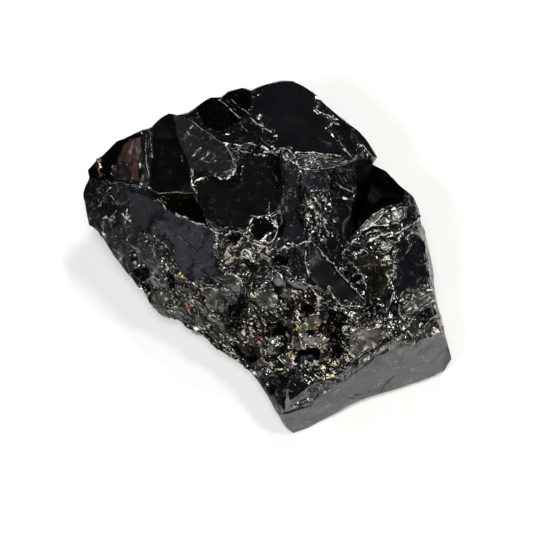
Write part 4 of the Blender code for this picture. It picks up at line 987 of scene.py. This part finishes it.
# all of it together; only a place without painted highlight tints what it mirrors
PAINTED_HIGHLIGHT = (*linear("#eeece4"), 1)
GILT_PAINTED_HIGHLIGHT = (*linear("#dcc78c"), 1)
GAP_SHADE_COLOUR = (*linear("#070707"), 1)
GAP_SHADE_METAL = 0.8  # painted shade: a gap mirrors nearly nothing but its own black
gilt = add(tree, "ShaderNodeMapRange", {
    "Value": vary["gilt"], "From Min": 0.50, "From Max": 0.62, "To Max": crumbliness})[0]
rust = add(tree, "ShaderNodeVectorMath", {0: zone_tint, "Scale": grained}, operation="SCALE")[0]
rim = PAINTED_HIGHLIGHT
for share, colour in ((gilt, GILT_PAINTED_HIGHLIGHT), (here["stain"], rust)):
    rim = add(tree, "ShaderNodeMix", {0: share, 6: rim, 7: colour}, data_type="RGBA")[2]
for share, colour in ((dim, GAP_SHADE_COLOUR), (pale, rim), (here["stain"], rust)):
    base = add(tree, "ShaderNodeMix", {0: share, 6: base, 7: colour}, data_type="RGBA")[2]
without_painted_highlight = add(tree, "ShaderNodeMath", (1, pale), operation="SUBTRACT")[0]
metallic = add(tree, "ShaderNodeMath", (dim, GAP_SHADE_METAL), operation="MULTIPLY")[0]
metallic = add(tree, "ShaderNodeMath", (metallic, here["metal"]), operation="MAXIMUM")[0]
metallic = add(tree, "ShaderNodeMath", (metallic, without_painted_highlight), operation="MULTIPLY")[0]
shader = add(tree, "ShaderNodeBsdfPrincipled", {
    "Base Color": base, "Metallic": metallic, "Roughness": here["roughness"], "IOR": CARBON_IOR,
    "Normal": bump})[0]
add(tree, "ShaderNodeOutputMaterial", {"Surface": shader})

# The relief between the solid's breaks and the glassy skin: chips of two sizes where the
# stone is crumbly, and a slow swell on the clean breaks. All in mm.
SIZES = {
    "Chip width": 2.4,
    "Chip depth": 2.2,
    "Small chip width": 0.8,
    "Small chip depth": 0.7,
    "Wave width": 6.0,
    "Wave depth": 0.12,
    "Bend width": 1.67,
    "Patch width": 2.86,
}
relief = bpy.data.node_groups.new("broken relief", "GeometryNodeTree")
relief.interface.new_socket("Geometry", in_out="INPUT", socket_type="NodeSocketGeometry")
for name, value in SIZES.items():
    relief.interface.new_socket(name, in_out="INPUT", socket_type="NodeSocketFloat").default_value = value
relief.interface.new_socket("Finish", in_out="INPUT", socket_type="NodeSocketMaterial")
relief.interface.new_socket("Geometry", in_out="OUTPUT", socket_type="NodeSocketGeometry")
given = add(relief, "NodeGroupInput")
position = add(relief, "GeometryNodeInputPosition")[0]
normal = add(relief, "GeometryNodeInputNormal")[0]
is_crumbly = add(relief, "GeometryNodeInputNamedAttribute", {"Name": "crumbly"})[0]
is_free = add(relief, "GeometryNodeInputNamedAttribute", {"Name": "free"})[0]
splintery = add(relief, "GeometryNodeInputNamedAttribute", {"Name": "splinters"}, data_type="FLOAT_VECTOR")[0]
millis = add(relief, "ShaderNodeVectorMath", {0: position, "Scale": 1 / MM}, operation="SCALE")[0]
per = {
    name: add(relief, "ShaderNodeMath", (1, given[name]), operation="DIVIDE")[0]
    for name in SIZES
    if name.endswith("width")
}
bend, patches, wave = (
    add(relief, "ShaderNodeTexNoise", {"Vector": millis, "Scale": per[width], "Detail": 2})
    for width in ("Bend width", "Patch width", "Wave width")
)
bend = add(relief, "ShaderNodeVectorMath", (bend["Color"], CENTRE), operation="SUBTRACT")[0]
bent = add(relief, "ShaderNodeVectorMath", (millis, bend), operation="ADD")[0]
patches = add(relief, "ShaderNodeMapRange", {"Value": patches["Fac"], **PATCHINESS})[0]
is_crumbly = add(relief, "ShaderNodeMath", (is_crumbly, patches), operation="MULTIPLY")[0]
large = chips(relief, bent, per["Chip width"], given["Chip depth"])
small = chips(relief, splintery, per["Small chip width"], given["Small chip depth"])
chipped = add(relief, "ShaderNodeMath", (large, small), operation="ADD")[0]
chipped = add(relief, "ShaderNodeMath", (chipped, is_crumbly), operation="MULTIPLY")[0]
wave = add(relief, "ShaderNodeMath", (wave["Fac"], CENTRE[0]), operation="SUBTRACT")[0]
height = add(relief, "ShaderNodeMath", (wave, given["Wave depth"], chipped), operation="MULTIPLY_ADD")[0]
for factor in (is_free, MM):
    height = add(relief, "ShaderNodeMath", (height, factor), operation="MULTIPLY")[0]
rise = add(relief, "ShaderNodeVectorMath", {0: normal, "Scale": height}, operation="SCALE")[0]
moved = add(relief, "GeometryNodeSetPosition", {"Geometry": given["Geometry"], "Offset": rise})[0]
whole = add(relief, "GeometryNodeRealizeInstances", (moved,))[0]
finished = add(relief, "GeometryNodeSetMaterial", {"Geometry": whole, "Material": given["Finish"]})[0]
add(relief, "NodeGroupOutput", (finished,))

modifier = nugget.modifiers.new("broken relief", "NODES")
modifier.node_group = relief
sockets = {item.name: item.identifier for item in relief.interface.items_tree if item.in_out == "INPUT"}
for name, value in SIZES.items():
    modifier[sockets[name]] = value
modifier[sockets["Finish"]] = stone
depsgraph = bpy.context.evaluated_depsgraph_get()
plain = bpy.data.meshes.new_from_object(nugget.evaluated_get(depsgraph), depsgraph=depsgraph)
nugget.modifiers.remove(modifier)
nugget.data = plain
CREASE = radians(28)  # triangles that meet at more than this have a sharp edge between them
plain.set_sharp_from_angle(angle=CREASE)

# The chips stay inside the solid's own box.
place = np.empty(3 * len(plain.vertices))
plain.vertices.foreach_get("co", place)
place = np.clip(place.reshape(-1, 3), cad_box[0], cad_box[1])
plain.vertices.foreach_set("co", place.ravel())

# Edges that stand out are painted paler than the faces beside them: painted highlights, with painted shade
# round them.
BLUNT = 0.9  # how much an edge bends, per mm, where its painted highlight starts
SHARP = 2.2  # and where it is full
SHORTEST = 1e-3  # a side shorter than this counts as this long, in mm
place = place / MM
facing = vertex_facings(place)
bends = np.zeros(len(place))
for one, other in ((0, 1), (1, 2), (2, 0)):
    way = place[corners[:, other]] - place[corners[:, one]]
    turn = facing[corners[:, other]] - facing[corners[:, one]]
    bend = (way * turn).sum(axis=1) / np.maximum((way**2).sum(axis=1), SHORTEST**2)
    for end in (one, other):
        bends += np.bincount(corners[:, end], bend, len(place))
bends /= 2 * np.bincount(corners.ravel(), minlength=len(place))
write(plain, "sharpness", np.clip((bends - BLUNT) / (SHARP - BLUNT), 0, 1))
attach(nugget, "root")
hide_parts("nugget")

# ---- The floor --------------------------------------------------------------------------
# A sheet of matt white card that the stone lies on, pressed from bleached pulp and laid flat.
# It fades out a little way off, as a sheet under studio light does.
FLOOR_RADIUS = 0.16  # in m
FADE_FROM = 0.032  # how far from the middle it starts to fade, in m
FADE_TO = 0.080
CARD_GLOW = 0.22  # the light of the room on it, which the soft boxes don't give
WHITE = (1, 1, 1, 1)
floor_mesh = bpy.data.meshes.new("floor")
shape = bmesh.new()
bmesh.ops.create_circle(shape, cap_ends=True, segments=96, radius=FLOOR_RADIUS)
shape.to_mesh(floor_mesh)
shape.free()
floor = bpy.data.objects.new("floor", floor_mesh)
bpy.context.scene.collection.objects.link(floor)
card = bpy.data.materials.new("white studio card")
tree = emptied(card)
where = add(tree, "ShaderNodeTexCoord")["Object"]
distance = add(tree, "ShaderNodeVectorMath", (where,), operation="LENGTH")["Value"]
fade = add(tree, "ShaderNodeMapRange", {
    "Value": distance, "From Min": FADE_FROM, "From Max": FADE_TO}, interpolation_type="SMOOTHSTEP")[0]
paper = add(tree, "ShaderNodeBsdfPrincipled", {
    "Base Color": (*linear("#ededed"), 1), "Roughness": 0.9, "Emission Color": WHITE,
    "Emission Strength": CARD_GLOW})[0]
clear = add(tree, "ShaderNodeBsdfTransparent")[0]
blend = add(tree, "ShaderNodeMixShader", (fade, paper, clear))[0]
add(tree, "ShaderNodeOutputMaterial", {"Surface": blend})
floor.data.materials.append(card)

# ---- The studio light -------------------------------------------------------------------
# A white room to the camera, and a dim one to the stone, with soft boxes of white cloth that
# its glassy breaks mirror. Each stands on its own at its compass angle and height angle.
ROOM = (0.022, 0.024, 0.028, 1)
world = bpy.data.worlds.new("studio")
bpy.context.scene.world = world
tree = emptied(world)
to_camera = add(tree, "ShaderNodeLightPath")["Is Camera Ray"]
dim_room = add(tree, "ShaderNodeBackground", {"Color": ROOM})[0]
white_room = add(tree, "ShaderNodeBackground", {"Color": WHITE})[0]
room = add(tree, "ShaderNodeMixShader", (to_camera, dim_room, white_room))[0]
add(tree, "ShaderNodeOutputWorld", {"Surface": room})

# name, compass angle and height angle, width and height, radiance, colour, and how far away
NEAR = 0.6
FAR = 2.0
SOFTBOXES = (
    ("left softbox", -162, 12, 0.22, 0.16, 0.3, "#edf7ff", NEAR),
    ("key", 68, 56, 0.11, 0.11, 34.0, "#fffdf8", NEAR),
    ("second key", -122, 52, 0.12, 0.12, 34.0, "#fffdf9", NEAR),
    ("third key", -20, 52, 0.11, 0.11, 24.0, "#fffcf6", NEAR),
    ("near camera", -90, 66, 0.40, 0.40, 26.0, "#fffefc", FAR),
    ("lens box", 41, 30, 0.10, 0.06, 1.3, "#ffffff", NEAR),
    ("tongue box", 138, 16, 0.12, 0.06, 0.4, "#ffffff", NEAR),
    ("front box", -82, 44, 0.16, 0.12, 0.8, "#fffbf3", NEAR),
    ("block box", -105, 27, 0.05, 0.05, 3.0, "#fffbf3", NEAR),
)
for name, around, above, width, height, radiance, colour, distance in SOFTBOXES:
    data = bpy.data.lights.new(name, "AREA")
    data.shape = "RECTANGLE"
    data.size = width
    data.size_y = height
    data.color = linear(colour)
    data.energy = radiance * pi * width * height
    lamp = bpy.data.objects.new(name, data)
    level = cos(radians(above))
    way = Vector((cos(radians(around)) * level, sin(radians(around)) * level, sin(radians(above))))
    lamp.location = way * distance
    lamp.rotation_euler = way.to_track_quat("Z", "Y").to_euler()
    lamp.visible_camera = False
    bpy.context.scene.collection.objects.link(lamp)

# ---- The camera -------------------------------------------------------------------------
# A camera with a long lens, fixed on a stand a long way off. It looks straight at the broken
# face, which leans back.
AWAY = 1.5  # in m
FIELD = 0.07107  # how wide the picture is at the stone, in m
FILM = 36  # the width of the camera's film, in mm
AIM = (0.07, -1.4, 10.0)  # across, up and out of the face, in mm
NEAREST = 0.1  # it draws what is between these, in m
FURTHEST = 10
data = bpy.data.cameras.new("camera")
data.lens = FILM * AWAY / FIELD
data.clip_start = NEAREST
data.clip_end = FURTHEST
camera = bpy.data.objects.new("camera", data)
aim = Vector((np.array(AIM) @ TO_FACE + FACE_MIDDLE) * MM)
camera.location = aim + OUTWARD * AWAY
camera.rotation_euler = OUTWARD.to_track_quat("Z", "Y").to_euler()
bpy.context.scene.collection.objects.link(camera)
bpy.context.scene.camera = camera
bpy.context.scene.view_settings.view_transform = "Standard"
